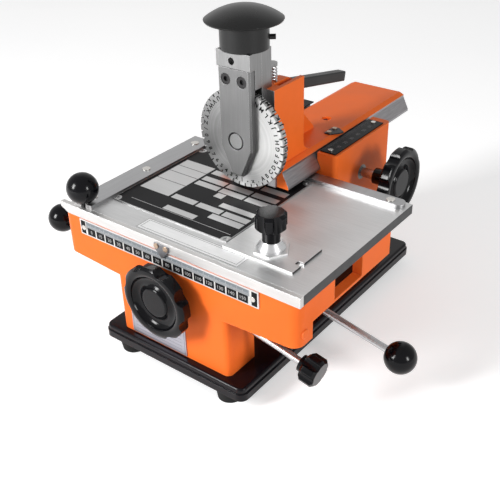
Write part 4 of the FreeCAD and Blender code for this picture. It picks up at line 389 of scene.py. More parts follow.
def enamel(name, colour, thin_and_lit, bare=None, peel_mm=0.010):
    """Sprayed enamel of a colour, lighter over edges as thin paint and as a painted highlight; bare(tree,
    place) may give a mask of bare steel.
    """
    material, tree, shader, place = new_finish(name, Specular_IOR_Level=0.10)
    edge = use(tree, edge_tree, {"Vector": place, "Radius": 0.7 * MM, "Raggedness": 0.25})
    worn = use(tree, patina_tree, {"Vector": place, "Scale": 18.0, "Speck Scale": 700.0})
    body = mixed(tree, worn["Clouds"], tone(colour, 0.94), tone(colour, 1.06))
    body = mixed(tree, maths(tree, "MULTIPLY", worn["Specks"], 0.12), body, tone(colour, 0.5))
    # Lighter colour over edges: thin paint, and also a painted highlight.
    body = mixed(tree, maths(tree, "MULTIPLY", edge["Mask"], 0.55), body, (*thin_and_lit, 1.0))
    rough = ramp(tree, worn["Clouds"], 0.0, 1.0, 0.34, 0.44)
    if bare:
        mask = bare(tree, place)
        lines = use(tree, brush_tree, {"Vector": place, "Stretch": (1.0, 0.04, 1.0), "Scale": 1500.0})
        steel = mixed(tree, lines["Lines"], tone(GROUND, 0.8), tone(GROUND, 1.15))
        body = mixed(tree, mask, body, steel)
        tree.links.new(mask, shader.inputs["Metallic"])
        rough = add(tree, "ShaderNodeMix", {"Factor": mask, 2: rough, 3: 0.40}).outputs[0]
    tree.links.new(body, shader.inputs["Base Color"])
    tree.links.new(rough, shader.inputs["Roughness"])
    bumped(tree, shader, worn["Ripple"], peel_mm, edge["Normal"])
    return material


plain_orange = enamel("orange_enamel", ENAMEL, THIN_AND_LIT_ENAMEL)
print("orange enamel made")

# %% [markdown]
# The head casting is painted before its sliding faces are ground. A mask finds these faces by where they
# are and which way they look, so the casting stays one solid with one material.

# %% Masks of bare steel
SOFT_EDGE = 0.00005
SOFT_TURN = 0.02


def step(tree, value, limit, soft=SOFT_EDGE):
    """1 where value is above the limit and 0 below it."""
    return ramp(tree, value, limit - soft, limit + soft)


def below(tree, value, limit, soft=SOFT_EDGE):
    """1 where value is below the limit and 0 above it."""
    return maths(tree, "SUBTRACT", 1.0, step(tree, value, limit, soft))


def both(tree, *masks):
    """1 where all the masks are 1."""
    product = masks[0]
    for mask in masks[1:]:
        product = maths(tree, "MULTIPLY", product, mask)
    return product


def directions(tree):
    """The parts of the face's direction on the piece itself: rightward, backward, upward."""
    facing = add(tree, "ShaderNodeTexCoord").outputs["Normal"]
    return add(tree, "ShaderNodeSeparateXYZ", {0: facing}).outputs


FLANK_TOP = 140.7
COLUMN_FRONT = -35.6
SIDEWAYS = 0.35
STRAIGHT = 0.8


def slide_bare(tree, place):
    """The dovetail flanks of the slide, its underside and the front of the column are bare."""
    x, y, z = add(tree, "ShaderNodeSeparateXYZ", {0: place}).outputs
    rightward, backward, upward = directions(tree)
    flanks = both(tree, below(tree, z, FLANK_TOP * MM),
                  step(tree, maths(tree, "ABSOLUTE", rightward), SIDEWAYS, SOFT_TURN))
    column_front = both(tree, below(tree, y, COLUMN_FRONT * MM), below(tree, backward, -STRAIGHT, SOFT_TURN))
    under = below(tree, upward, -STRAIGHT, SOFT_TURN)
    return maths(tree, "MAXIMUM", maths(tree, "MAXIMUM", flanks, column_front), under)


slide_orange = enamel("slide_enamel", ENAMEL, THIN_AND_LIT_ENAMEL, slide_bare)
print("slide enamel made, flanks bare below", FLANK_TOP, "mm")

# %% [markdown]
# The rear block is painted outside, and its dovetail groove is ground. The groove lies above the foot of
# the slide that runs in it, so that height is read from the slide.

# %% Groove mask
block_high = box_mm("rear_block")[1]
GROOVE_FOOT = box_mm("head_slide")[0][2] - 1.0
PAINTED_SIDE = 2.0
PAINTED_TOP = 0.4


def groove_bare(tree, place):
    """The walls and floor of the dovetail groove in the rear block are bare."""
    x, y, z = add(tree, "ShaderNodeSeparateXYZ", {0: place}).outputs
    near = below(tree, maths(tree, "ABSOLUTE", x), (block_high[0] - PAINTED_SIDE) * MM)
    deep = step(tree, z, GROOVE_FOOT * MM)
    below_top = below(tree, z, (block_high[2] - PAINTED_TOP) * MM)
    not_front = below(tree, maths(tree, "ABSOLUTE", directions(tree)[1]), 0.5, 0.05)
    return both(tree, near, deep, below_top, not_front)


block_orange = enamel("block_enamel", ENAMEL, THIN_AND_LIT_ENAMEL, groove_bare)
print("block enamel made, groove bare above", round(GROOVE_FOOT, 1), "mm")

# %% [markdown]
# ## Steel
# Two masks paint shade into the steel: the ends of the table and the recess round the axle are painted
# nearly black, as painted shade. They are found by direction and by place, as on the castings.

# %% Painted shade on steel
NEARLY_BLACK = (0.022, 0.022, 0.024, 1.0)
axle_low, axle_high = box_mm("wheel_axle")
AXLE = (axle_low + axle_high) / 2
AXLE_HEAD = (axle_high[0] - axle_low[0]) / 2
RECESS_WIDE = 1.25
RECESS_IN = 0.1


def sawn_ends(tree, place):
    """Faces turned left or right are painted dark, as painted shade."""
    sideways = step(tree, maths(tree, "ABSOLUTE", directions(tree)[0]), 0.9, SOFT_TURN)
    return maths(tree, "MULTIPLY", sideways, 0.9)


def length_of(tree, first, second):
    """The length of a flat arrow with two given parts."""
    flat = add(tree, "ShaderNodeCombineXYZ", {0: first, 1: second}).outputs[0]
    return add(tree, "ShaderNodeVectorMath", {0: flat}, operation="LENGTH").outputs["Value"]


def oiled_recess(tree, place):
    """Painted shade in the recess round the axle's head: a dark ring about the axle."""
    x, y, z = add(tree, "ShaderNodeSeparateXYZ", {0: place}).outputs
    radius = length_of(tree, maths(tree, "SUBTRACT", x, AXLE[0] * MM),
                       maths(tree, "SUBTRACT", z, AXLE[2] * MM))
    return both(tree, below(tree, radius, (AXLE_HEAD + RECESS_WIDE) * MM),
                step(tree, radius, (AXLE_HEAD - RECESS_IN) * MM))


print("recess", RECESS_WIDE, "mm wide round an axle head of", round(AXLE_HEAD, 2), "mm radius")

# %% [markdown]
# The table and its rails are ground and brushed along their length, small turned parts have no direction
# that the eye could follow, and the chrome of the cone is smooth. One function makes them all, from a
# colour, a gloss and a direction.

# %% Brushed and turned steel
def steel(name, colour, roughness, stretch=(0.03, 1.0, 1.0), scale=1400.0, depth_mm=0.004, uneven=0.12,
          edge_mm=0.35, edge_gain=1.35, dark=None):
    """Bare metal with lines drawn out by stretch, cloudy tone and gloss, and polished edges, made lighter by
    edge_gain, which is also a painted highlight. dark(tree, place) may give a mask of places painted nearly
    black, as painted shade."""
    material, tree, shader, place = new_finish(name, Metallic=1.0)
    lines = use(tree, brush_tree, {"Vector": place, "Stretch": stretch, "Scale": scale})
    worn = use(tree, patina_tree, {"Vector": place, "Scale": 14.0, "Speck Scale": 600.0})
    edge = use(tree, edge_tree, {"Vector": place, "Radius": edge_mm * MM, "Raggedness": 0.25})
    shade = maths(tree, "MULTIPLY_ADD", lines["Lines"], 0.5, maths(tree, "MULTIPLY", worn["Clouds"], 0.5))
    body = mixed(tree, shade, tone(colour, 1.0 - uneven), tone(colour, 1.0 + uneven))
    body = mixed(tree, maths(tree, "MULTIPLY", worn["Specks"], 0.15), body, tone(colour, 0.55))
    # Edges made lighter by edge_gain: partly real polish and partly a painted highlight.
    body = mixed(tree, edge["Mask"], body, tone(colour, edge_gain))
    if dark:
        body = mixed(tree, dark(tree, place), body, NEARLY_BLACK)
    tree.links.new(body, shader.inputs["Base Color"])
    gloss = maths(tree, "MULTIPLY_ADD", lines["Bands"], 0.08,
                  ramp(tree, worn["Clouds"], 0.0, 1.0, roughness - 0.06, roughness + 0.04))
    tree.links.new(gloss, shader.inputs["Roughness"])
    bumped(tree, shader, lines["Lines"], depth_mm, edge["Normal"])
    return material


# The table's ends that face left and right get painted shade, nearly black.
table_steel = steel("table_steel", (0.64, 0.64, 0.64), 0.46, dark=sawn_ends)
rail_steel = steel("rail_steel", (0.39, 0.39, 0.395), 0.32, (1.0, 0.03, 1.0))
strip_steel = steel("strip_steel", (0.64, 0.63, 0.62), 0.42, edge_gain=1.6)
# The arm's recess round the axle gets painted shade, nearly black.
arm_steel = steel("arm_steel", (0.20, 0.20, 0.20), 0.38, (1.0, 1.0, 0.03), edge_gain=2.8,
                  dark=oiled_recess)
block_steel = steel("block_steel", (0.27, 0.27, 0.27), 0.34, (1.0, 1.0, 0.03), uneven=0.2, edge_gain=1.8)
rod_steel = steel("rod_steel", (0.50, 0.50, 0.51), 0.22, (1.0, 1.0, 1.0), 700.0)
chrome = steel("chrome", (0.78, 0.78, 0.79), 0.24, (1.0, 1.0, 1.0), 500.0, 0.001, 0.05)
plate_steel = steel("plate_steel", (0.46, 0.46, 0.51), 0.44, (0.03, 1.0, 1.0))
screw_steel = steel("screw_steel", (0.62, 0.60, 0.57), 0.24, (1.0, 1.0, 1.0), 700.0)
warm_steel = steel("warm_steel", (0.42, 0.31, 0.23), 0.24, (1.0, 1.0, 1.0), 700.0)
bush_steel = steel("bush_steel", (0.14, 0.13, 0.12), 0.34, (1.0, 1.0, 1.0), 700.0)
pointer_steel = steel("pointer_steel", (0.20, 0.20, 0.21), 0.40, (1.0, 1.0, 1.0), 700.0)
axle_steel = steel("axle_steel", (0.26, 0.26, 0.26), 0.36, (1.0, 1.0, 1.0), 900.0, edge_gain=1.6)
print("thirteen metals")

# %% [markdown]
# The base is painted, the knobs are moulded, the screws are blackened and the feet are rubber. All are a
# black with cloudy gloss, specks of dust and a greyer edge, so one function makes them, and it also serves
# for the thin paints of the prints.

# %% Blackened steel and black paint
DUST = (0.16, 0.16, 0.155, 1.0)


def black_coat(name, colour, roughness, coat=0.0, peel_mm=0.006, edge_colour=(0.09, 0.09, 0.09),
               specular=0.35):
    """Black paint, moulding or oxide: cloudy gloss, specks of dust and a greyer edge."""
    material, tree, shader, place = new_finish(name, Coat_Weight=coat, Coat_Roughness=0.06,
                                               Specular_IOR_Level=specular)
    edge = use(tree, edge_tree, {"Vector": place, "Radius": 0.5 * MM, "Raggedness": 0.3})
    worn = use(tree, patina_tree, {"Vector": place, "Scale": 22.0, "Speck Scale": 800.0})
    body = mixed(tree, worn["Clouds"], tone(colour, 0.8), tone(colour, 1.25))
    body = mixed(tree, maths(tree, "MULTIPLY", worn["Specks"], 0.05), body, DUST)
    body = mixed(tree, maths(tree, "MULTIPLY", edge["Mask"], 0.35), body, (*edge_colour, 1.0))
    tree.links.new(body, shader.inputs["Base Color"])
    tree.links.new(ramp(tree, worn["Clouds"], 0.0, 1.0, roughness * 0.85, roughness * 1.2),
                   shader.inputs["Roughness"])
    bumped(tree, shader, worn["Ripple"], peel_mm, edge["Normal"])
    return material


base_black = black_coat("base_black", (0.004, 0.003, 0.005), 0.22, 0.0, 0.01, specular=0.20)
knob_black = black_coat("knob_black", (0.002, 0.002, 0.003), 0.15, 0.0, 0.001, (0.015, 0.015, 0.015), 0.20)
cap_black = black_coat("cap_black", (0.006, 0.006, 0.006), 0.28, 0.0, 0.003, (0.05, 0.05, 0.05), 0.34)
oxide_black = black_coat("oxide_black", (0.020, 0.019, 0.020), 0.38, 0.0, 0.004)
grip_black = black_coat("grip_black", (0.009, 0.009, 0.010), 0.42, 0.0, 0.01)
plate_black = black_coat("plate_black", (0.005, 0.005, 0.006), 0.40, 0.0, 0.002, specular=0.1)
rubber_black = black_coat("rubber_black", (0.012, 0.012, 0.012), 0.75, 0.0, 0.03, (0.04, 0.04, 0.04), 0.2)
print("seven blacks")

# %% [markdown]
# ## The type wheel
# The wheel is faced on a lathe, so its lines are rings about its own axis. The distance from the axis,
# pushed through fine noise, draws them. The face is painted darker on the left and lighter on the right, as
# a painted reflection, and the rim between the forty type blocks is painted dark, as painted shade.

# %% Turned wheel
wheel_low, wheel_high = box_mm("type_wheel")
WHEEL_AXIS = ((wheel_low[0] + wheel_high[0]) / 2, (wheel_low[2] + wheel_high[2]) / 2)
WHEEL_RADIUS = (wheel_high[0] - wheel_low[0]) / 2
BRIGHT_RIM = 0.5
GAP_SHADE = (0.02, 0.02, 0.022, 1.0)


def turned_wheel():
    """Turned face, painted darker left and lighter right as a painted reflection, with painted shade in the
    gaps between the blocks on the rim.
    """
    material, tree, shader, place = new_finish("wheel_steel", Metallic=1.0)
    x, y, z = add(tree, "ShaderNodeSeparateXYZ", {0: place}).outputs
    across = maths(tree, "SUBTRACT", x, WHEEL_AXIS[0] * MM)
    upward = maths(tree, "SUBTRACT", z, WHEEL_AXIS[1] * MM)
    radius = length_of(tree, across, upward)
    ring_place = add(tree, "ShaderNodeCombineXYZ", {0: radius, 1: y}).outputs[0]
    rings = use(tree, brush_tree, {"Vector": ring_place, "Stretch": (1.0, 0.02, 1.0), "Scale": 1600.0})
    worn = use(tree, patina_tree, {"Vector": place, "Scale": 30.0, "Speck Scale": 700.0})
    edge = use(tree, edge_tree, {"Vector": place, "Radius": 0.3 * MM, "Raggedness": 0.2})
    on_rim = below(tree, maths(tree, "ABSOLUTE", directions(tree)[1]), 0.5, 0.05)
    in_gap = both(tree, on_rim, below(tree, radius, (WHEEL_RADIUS - BRIGHT_RIM) * MM, 0.0002))
    # Painted reflection: the face is painted darker on the left and lighter on the right.
    painted_sweep = ramp(tree, across, -0.9 * WHEEL_RADIUS * MM, 0.8 * WHEEL_RADIUS * MM)
    shaded_left = mixed(tree, rings["Lines"], (0.17, 0.17, 0.17, 1.0), (0.26, 0.26, 0.26, 1.0))
    lit_right = mixed(tree, rings["Lines"], (0.44, 0.44, 0.435, 1.0), (0.60, 0.60, 0.595, 1.0))
    body = mixed(tree, painted_sweep, shaded_left, lit_right)
    body = mixed(tree, maths(tree, "MULTIPLY", worn["Clouds"], 0.25), body, (0.5, 0.5, 0.5, 1.0))
    # Painted shade: the rim between the blocks is nearly black and less metallic.
    body = mixed(tree, in_gap, body, GAP_SHADE)
    tree.links.new(body, shader.inputs["Base Color"])
    tree.links.new(maths(tree, "SUBTRACT", 1.0, maths(tree, "MULTIPLY", in_gap, 0.8)),
                   shader.inputs["Metallic"])
    tree.links.new(ramp(tree, worn["Clouds"], 0.0, 1.0, 0.30, 0.40), shader.inputs["Roughness"])
    bumped(tree, shader, rings["Lines"], 0.004, edge["Normal"])
    return material


wheel_steel = turned_wheel()
print("wheel radius", WHEEL_RADIUS, "mm about", WHEEL_AXIS)

# %% [markdown]
# Each block carries one sign, engraved on the wheel's face and raised on the block's end. Both are flat
# faces just above the steel, because a cut a few hundredths of a millimetre deep shows only as its ink.

# %% Letters round the wheel
WHEEL_SIGNS = "1-x.ABCDEFGHIJKLMNOPQRSTUVWXYZ/098765432"
LETTER_RADIUS = 34.8
LETTER_HIGH = 3.4
BLOCK_SIGN_HIGH = 3.6
LETTER_WEIGHT = 0.035


def wheel_letters():
    """Forty signs on a circle, each with its foot towards the rim, and again on the ends of the blocks.

    A sign's plane is set by its angle: outward is (cos, sin), and rightward is outward turned by 90
    degrees. On the face its foot points outward; on a block's end it stands upright across the rim.
    """
    parts = []
    front = np.array([WHEEL_AXIS[0], wheel_low[1] - PRINT_LIFT, WHEEL_AXIS[1]])
    centre = np.array([WHEEL_AXIS[0], (wheel_low[1] + wheel_high[1]) / 2, WHEEL_AXIS[1]])
    for number, sign in enumerate(WHEEL_SIGNS):
        angle = math.radians(-90 + number * 360 / len(WHEEL_SIGNS))
        outward = np.array([math.cos(angle), 0.0, math.sin(angle)])
        right = np.array([-math.sin(angle), 0.0, math.cos(angle)])
        flat, faces = letter_faces(sign, LETTER_HIGH, LETTER_WEIGHT)
        parts.append((on_plane(flat, front + outward * LETTER_RADIUS, right, -outward), faces))
        flat, faces = letter_faces(sign, BLOCK_SIGN_HIGH, LETTER_WEIGHT)
        parts.append((on_plane(flat, centre + outward * (WHEEL_RADIUS + PRINT_LIFT), right, -BACK), faces))
    return make_mesh("wheel_letters", *gathered(parts))


letters = wheel_letters()
ink = black_coat("engraving_ink", (0.006, 0.006, 0.006), 0.6, specular=0.1)
letters.data.materials.append(ink)
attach(letters, "type_wheel")
print(len(WHEEL_SIGNS), "signs,", len(letters.data.polygons), "faces")

# %% [markdown]
# ## The front scale
# A thin plate under the table's pointer: a white border, a grey field with a tick for each millimetre, and
# a black row with the centimetres in white. Each colour is a layer of flat patches on the plate.

# %% Front scale
BORDER = 1.0
SCALE_FOOT = 1.0
BLOCK_TOP = 7.4
FIELD_TOP = 12.4
END_BLACK = 4.9
FIRST_MARK = -82.8
MARKS = 160
CENTIMETRE = 10.0
GAP_HALF = 0.6


def layer(name, rectangles, depth, finish, body, plane):
    """Flat patches on a plate's face, depth layers above it; the plane is its corner, right and up."""
    flat, faces = patches(rectangles)
    origin, right, up = plane
    lift = np.cross(right, up)
    piece = make_mesh(name, on_plane(flat, origin + lift * PRINT_LIFT * depth, right, up), faces)
    piece.data.materials.append(finish)
    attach(piece, body)
    return piece


scale_low, scale_high = box_mm("x_scale_plate")
front_face = (scale_low, RIGHT, UP)
scale_long, _, scale_tall = scale_high - scale_low
white_paint = black_coat("white_paint", (0.62, 0.61, 0.60), 0.4, 0.1, 0.002, (0.7, 0.7, 0.7))
grey_paint = black_coat("grey_paint", (0.17, 0.19, 0.21), 0.4, 0.0, 0.002, (0.3, 0.3, 0.3))
marks = FIRST_MARK - scale_low[0] + np.arange(0, MARKS + 1, CENTIMETRE)
blocks = [(left + GAP_HALF, SCALE_FOOT, left + CENTIMETRE - GAP_HALF, BLOCK_TOP) for left in marks[:-1]]
ends = [(BORDER, SCALE_FOOT, BORDER + END_BLACK, FIELD_TOP),
        (scale_long - BORDER - END_BLACK, SCALE_FOOT, scale_long - BORDER, FIELD_TOP)]
layer("scale_black", blocks + ends, 1, plate_black, "frame", front_face)
layer("scale_grey", [(marks[0] - GAP_HALF, BLOCK_TOP, marks[-1] + GAP_HALF, FIELD_TOP)], 1, grey_paint,
      "frame", front_face)
print("front scale", round(scale_long, 1), "by", round(scale_tall, 1), "mm,", len(blocks), "blocks")

# %% [markdown]
# A ruler is read by the length of its ticks. They stand on the black row, and all are worked out at once.

# %% Ticks
TICK_WIDE = 0.22
TENTH_HIGH, FIFTH_HIGH, TICK_HIGH = 4.4, 3.6, 2.6


def tick_rectangles():
    """One patch for each millimetre, up from the black blocks: every fifth is longer, every tenth longest."""
    count = np.arange(MARKS + 1)
    x = FIRST_MARK - scale_low[0] + count
    high = np.where(count % 10 == 0, TENTH_HIGH, np.where(count % 5 == 0, FIFTH_HIGH, TICK_HIGH))
    return np.stack([x - TICK_WIDE / 2, np.full(len(x), BLOCK_TOP), x + TICK_WIDE / 2, BLOCK_TOP + high], 1)


layer("scale_ticks", tick_rectangles(), 2, white_paint, "frame", front_face)
print(MARKS + 1, "ticks")

# %% [markdown]
# The numbers stand in the middle of the black blocks, one for each centimetre, in plain white.

# %% Scale numbers
NUMBER_HIGH = 2.8
digit_paint = black_coat("digit_paint", (0.42, 0.42, 0.42), 0.45, 0.0, 0.002, (0.5, 0.5, 0.5))


def numbers(name, words_at, high, depth, finish, body, plane):
    """Numbers printed on a plate: words_at is a list of (words, x, y) on the plate's plane."""
    origin, right, up = plane
    lift = np.cross(right, up)
    parts = []
    for words, x, y in words_at:
        flat, faces = letter_faces(words, high)
        parts.append((on_plane(flat + [x, y], origin + lift * PRINT_LIFT * depth, right, up), faces))
    piece = make_mesh(name, *gathered(parts))
    piece.data.materials.append(finish)
    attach(piece, body)
    return piece


middle = (SCALE_FOOT + BLOCK_TOP) / 2
numbers("scale_numbers", [(str(10 * n), x + CENTIMETRE / 2, middle) for n, x in enumerate(marks[:-1])],
        NUMBER_HIGH, 2, digit_paint, "frame", front_face)
print(len(marks) - 1, "numbers")

# %% [markdown]
# ## The scale beside the slide
# It reads from the machine's right side, so its numbers stand with their heads towards the slide. The
# print is faint: grey on black.

# %% Side scale
SIDE_FIRST, SIDE_MARKS = 4.0, 70
SIDE_TICK_HALF = 0.1
SIDE_TICK_TOP = 0.8
SIDE_FIFTH_HIGH, SIDE_TICK_HIGH = 4.0, 2.4
SIDE_NUMBER_AT, SIDE_NUMBER_HIGH = 5.5, 3.2
side_low, side_high = box_mm("y_scale_plate")
side_face = (np.array([side_high[0], side_low[1], side_high[2]]), BACK, -RIGHT)
side_wide, side_long, _ = side_high - side_low
faint_paint = black_coat("faint_paint", (0.14, 0.14, 0.15), 0.45, 0.0, 0.002)
count = np.arange(SIDE_MARKS + 1)
x, top = SIDE_FIRST + count, side_wide - SIDE_TICK_TOP
high = np.where(count % 5 == 0, SIDE_FIFTH_HIGH, SIDE_TICK_HIGH)
layer("side_ticks", np.stack([x - SIDE_TICK_HALF, top - high, x + SIDE_TICK_HALF, np.full(len(x), top)], 1),
      1, faint_paint, "frame", side_face)
numbers("side_numbers", [(str(n), SIDE_FIRST + n, SIDE_NUMBER_AT) for n in range(10, SIDE_MARKS, 10)],
        SIDE_NUMBER_HIGH, 1, faint_paint, "frame", side_face)
print("side scale", round(side_long, 1), "mm")

# %% [markdown]
# ## The nameplate on the table
# The blank is a printed sheet: black up to a thin bare edge, cut round at the holes in its corners, with
# bare fields for what will be stamped in. The print is a mask on the solid, so its round cuts are exact.

# %% Printed sheet
PRINT_EDGE = 0.7
NOTCH = 4.4
HOLE_IN = 1.7
bare = steel("bare_fields", (0.62, 0.62, 0.62), 0.50, (0.03, 1.0, 1.0), 1600.0, uneven=0.08)


def printed_blank():
    """Black print on bare metal: a rectangle inside the edges, cut round at the holes in the corners."""
    material, tree, shader, place = new_finish("printed_blank", Specular_IOR_Level=0.1)
    x, y, z = add(tree, "ShaderNodeSeparateXYZ", {0: place}).outputs
    low, high = box_mm("nameplate_blank")
    middle, half = (low + high) / 2, (high - low) / 2 - PRINT_EDGE
    inset = [maths(tree, "SUBTRACT", half[i] * MM, maths(tree, "ABSOLUTE", maths(
        tree, "SUBTRACT", value, middle[i] * MM))) for i, value in ((0, x), (1, y))]
    away = length_of(tree, *[maths(tree, "SUBTRACT", part, HOLE_IN * MM) for part in inset])
    ink = both(tree, *[step(tree, part, 0.0) for part in inset], step(tree, away, NOTCH * MM))
    worn = use(tree, patina_tree, {"Vector": place, "Scale": 22.0, "Speck Scale": 800.0})
    black = mixed(tree, worn["Clouds"], (0.004, 0.004, 0.005, 1.0), (0.008, 0.008, 0.009, 1.0))
    lines = use(tree, brush_tree, {"Vector": place, "Stretch": (0.03, 1.0, 1.0), "Scale": 1600.0})
    metal = mixed(tree, lines["Lines"], (0.34, 0.34, 0.34, 1.0), (0.48, 0.48, 0.48, 1.0))
    tree.links.new(mixed(tree, ink, metal, black), shader.inputs["Base Color"])
    tree.links.new(maths(tree, "SUBTRACT", 1.0, ink), shader.inputs["Metallic"])
    tree.links.new(ramp(tree, worn["Clouds"], 0.0, 1.0, 0.32, 0.44), shader.inputs["Roughness"])
    return material


blank_print = printed_blank()
print("print starts", PRINT_EDGE, "mm from the edges")

# %% [markdown]
# The fields are patches of bare metal: a list of four on the left, rows of three, four single ones and a
# ruled line. Names and notes are left out, so only the fields remain. Sizes are from the sheet's corner.

# %% Fields of the blank
COLUMNS = [(37.5, 60.8), (62.8, 86.5), (88.5, 112.3)]
ROWS = [(76.7, 84.0), (64.4, 71.3), (55.3, 62.0), (27.3, 34.0)]
SINGLES = [(77.8, 37.2, 110.6, 43.3), (81.8, 19.1, 112.3, 26.0), (44.2, 10.3, 75.0, 16.7),
           (64.2, 47.3, 72.4, 54.3)]
RULED_LINE = (12.4, 9.1, 112.4, 9.5)
LIST_COLUMN = (4.2, 35.0)
LIST_ROWS = [(27.3, 47.4), (48.0, 62.4), (63.0, 73.7), (74.3, 85.6)]


def crossed(rows, columns):
    """The rectangles where rows (low, high) and columns (left, right) cross."""
    return [(left, low, right, high) for low, high in rows for left, right in columns]


blank_low, blank_high = box_mm("nameplate_blank")
blank_face = (np.array([blank_low[0], blank_low[1], blank_high[2]]), RIGHT, BACK)
fields = crossed(ROWS, COLUMNS) + SINGLES + [RULED_LINE] + crossed(LIST_ROWS, [LIST_COLUMN])
layer("blank_fields", fields, 1, bare, "table", blank_face)
print(len(fields), "fields on a blank of", np.round(blank_high - blank_low, 1)[:2], "mm")

# %% [markdown]
# ## The label on the table and the plate on the pillar
# Both carry only words and rules in the real machine, and the words are left out. So on the table a pale
# panel with two thin frames remains.

# %% Label on the table
LABEL = (-31.5, -138.3, 64.0, -123.6)
LABEL_INNER = (LABEL[0] + 2.2, LABEL[1] + 2.4, LABEL[2] - 2.2, LABEL[3] - 1.6)
FRAME_LINE = 0.3
table_face = (box_mm("table_plate")[1] * UP, RIGHT, BACK)
label_steel = steel("label_steel", (0.90, 0.90, 0.90), 0.52, (0.03, 1.0, 1.0), 1600.0, uneven=0.06)
line_ink = black_coat("line_ink", (0.10, 0.10, 0.10), 0.5, specular=0.1)


def outline(left, low, right, high, wide):
    """Four thin rectangles along the inner edge of a rectangle."""
    return [(left, low, right, low + wide), (left, high - wide, right, high),
            (left, low, left + wide, high), (right - wide, low, right, high)]


layer("table_label", [LABEL], 1, label_steel, "table", table_face)
layer("table_label_lines", outline(*LABEL, FRAME_LINE) + outline(*LABEL_INNER, FRAME_LINE), 2, line_ink,
      "table", table_face)
print("label", LABEL)

# %% [markdown]
# The plate on the pillar keeps its frame and a few faint rules, which are one layer of thin patches.

# %% Data plate on the pillar
FRAME_IN = 1.2
RULES = 7
RULE_IN, RULE_LINE = 4.0, 0.25
LOWEST_RULE, HIGHEST_RULE_IN = 4.5, 6.0
data_low, data_high = box_mm("data_plate")
data_wide, _, data_tall = data_high - data_low
rules = [(RULE_IN, y, data_wide - RULE_IN, y + RULE_LINE)
         for y in np.linspace(LOWEST_RULE, data_tall - HIGHEST_RULE_IN, RULES)]
faint_ink = black_coat("faint_ink", (0.10, 0.11, 0.15), 0.5, specular=0.1)
layer("data_plate_lines", outline(FRAME_IN, FRAME_IN, data_wide - FRAME_IN, data_tall - FRAME_IN, FRAME_LINE)
      + rules, 1, faint_ink, "frame", (data_low, RIGHT, UP))
print(RULES, "rules on a plate of", round(data_wide, 1), "by", round(data_tall, 1), "mm")

# %% [markdown]
# The right wall has one small round plug near the front, painted over with the casting. It is a short
# turned profile carried round its axis: the radius as a function of the height above the wall.

# %% Plug in the right wall
PLUG_AT = (-133.5, 85.4)
PLUG_PROFILE = [(3.7, -0.2), (3.7, 0.5), (3.2, 0.9)]


def tube_faces(rings, sides):
    """Faces of a tube: four-sided ones between each ring of corners and the next, and one at each end."""
    ring, side = np.meshgrid(np.arange(rings - 1) * sides, np.arange(sides), indexing="ij")
    here, there = ring + side, ring + (side + 1) % sides
    quads = np.stack([here, there, there + sides, here + sides], -1).reshape(-1, 4)
    first = np.arange(sides)
    return [*quads, first[::-1], first + (rings - 1) * sides]


def turned(profile, centre, axis, across, sides=32):
    """Points and faces of a profile (radius, height) carried round an axis, with flat ends:
    centre + height * axis + radius * (cos t * across + sin t * (axis x across))."""
    t = np.arange(sides) * 2 * math.pi / sides
    axis, across = np.asarray(axis, float), np.asarray(across, float)
    ring = np.cos(t)[:, None] * across + np.sin(t)[:, None] * np.cross(axis, across)
    points = np.concatenate([np.asarray(centre) + high * axis + radius * ring for radius, high in profile])
    return points, tube_faces(len(profile), sides)


bed_high = box_mm("bed_casting")[1]
plug = make_mesh("side_plug", *turned(PLUG_PROFILE, (bed_high[0], *PLUG_AT), (1, 0, 0), (0, 1, 0)))
plug.data.materials.append(plain_orange)
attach(plug, "frame")
print("plug", len(plug.data.polygons), "faces")

# %% [markdown]
# ## Return springs
# The two coil springs push the ram back up, and they shorten while it is pressed. A solid of the model keeps
# its shape, so the springs are made again here as a mesh of their own: a round wire along a helix.

# %% Coil springs
SPRING_WIRE = 1.1
SPRING_TURNS = 5
RINGS_A_TURN = 28
WIRE_SIDES = 10


def coil(centre, radius, wire, foot, top, turns):
    """A wire along a helix. At turn t its axis is at centre + radius * (cos, sin)(2 pi t) and rises evenly
    from foot to top. Each ring of the wire is spanned by the outward direction and by the tangent crossed
    with it: wire / 2 * (cos u * outward + sin u * aside). The two ends are closed flat."""
    t = np.linspace(0, turns, turns * RINGS_A_TURN + 1)
    angle = 2 * math.pi * t
    outward = np.stack([np.cos(angle), np.sin(angle), np.zeros_like(t)], 1)
    axis = np.array([*centre, 0.0]) + radius * outward
    rise = (top - foot - wire) / turns
    axis[:, 2] = foot + wire / 2 + rise * t
    tangent = np.stack([-radius * np.sin(angle), radius * np.cos(angle),
                        np.full_like(t, rise / (2 * math.pi))], 1)
    tangent /= np.linalg.norm(tangent, axis=1, keepdims=True)
    aside = np.cross(tangent, outward)
    u = (np.arange(WIRE_SIDES) * 2 * math.pi / WIRE_SIDES)[None, :, None]
    ring = wire / 2 * (np.cos(u) * outward[:, None] + np.sin(u) * aside[:, None])
    return (axis[:, None] + ring).reshape(-1, 3), tube_faces(len(t), WIRE_SIDES)


spring_low, spring_high = box_mm("return_springs")
spring_middle = (spring_low + spring_high) / 2
spring_radius = (spring_high[1] - spring_low[1] - SPRING_WIRE) / 2
spring_out = spring_high[0] - spring_middle[0] - spring_radius - SPRING_WIRE / 2
springs = make_mesh("coil_springs", *gathered([
    coil((spring_middle[0] + side * spring_out, spring_middle[1]), spring_radius, SPRING_WIRE,
         spring_low[2], spring_high[2], SPRING_TURNS) for side in (-1, 1)]))
springs.data.materials.append(rod_steel)
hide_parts("return_springs")
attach(springs, "head")
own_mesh(springs)

# %% [markdown]
# Under the chrome cone lies a thin washer with six sides. A ring of six corners at its foot, one near its
# top and a slightly smaller one for the broken edge are all it needs, so the turned profile serves again.

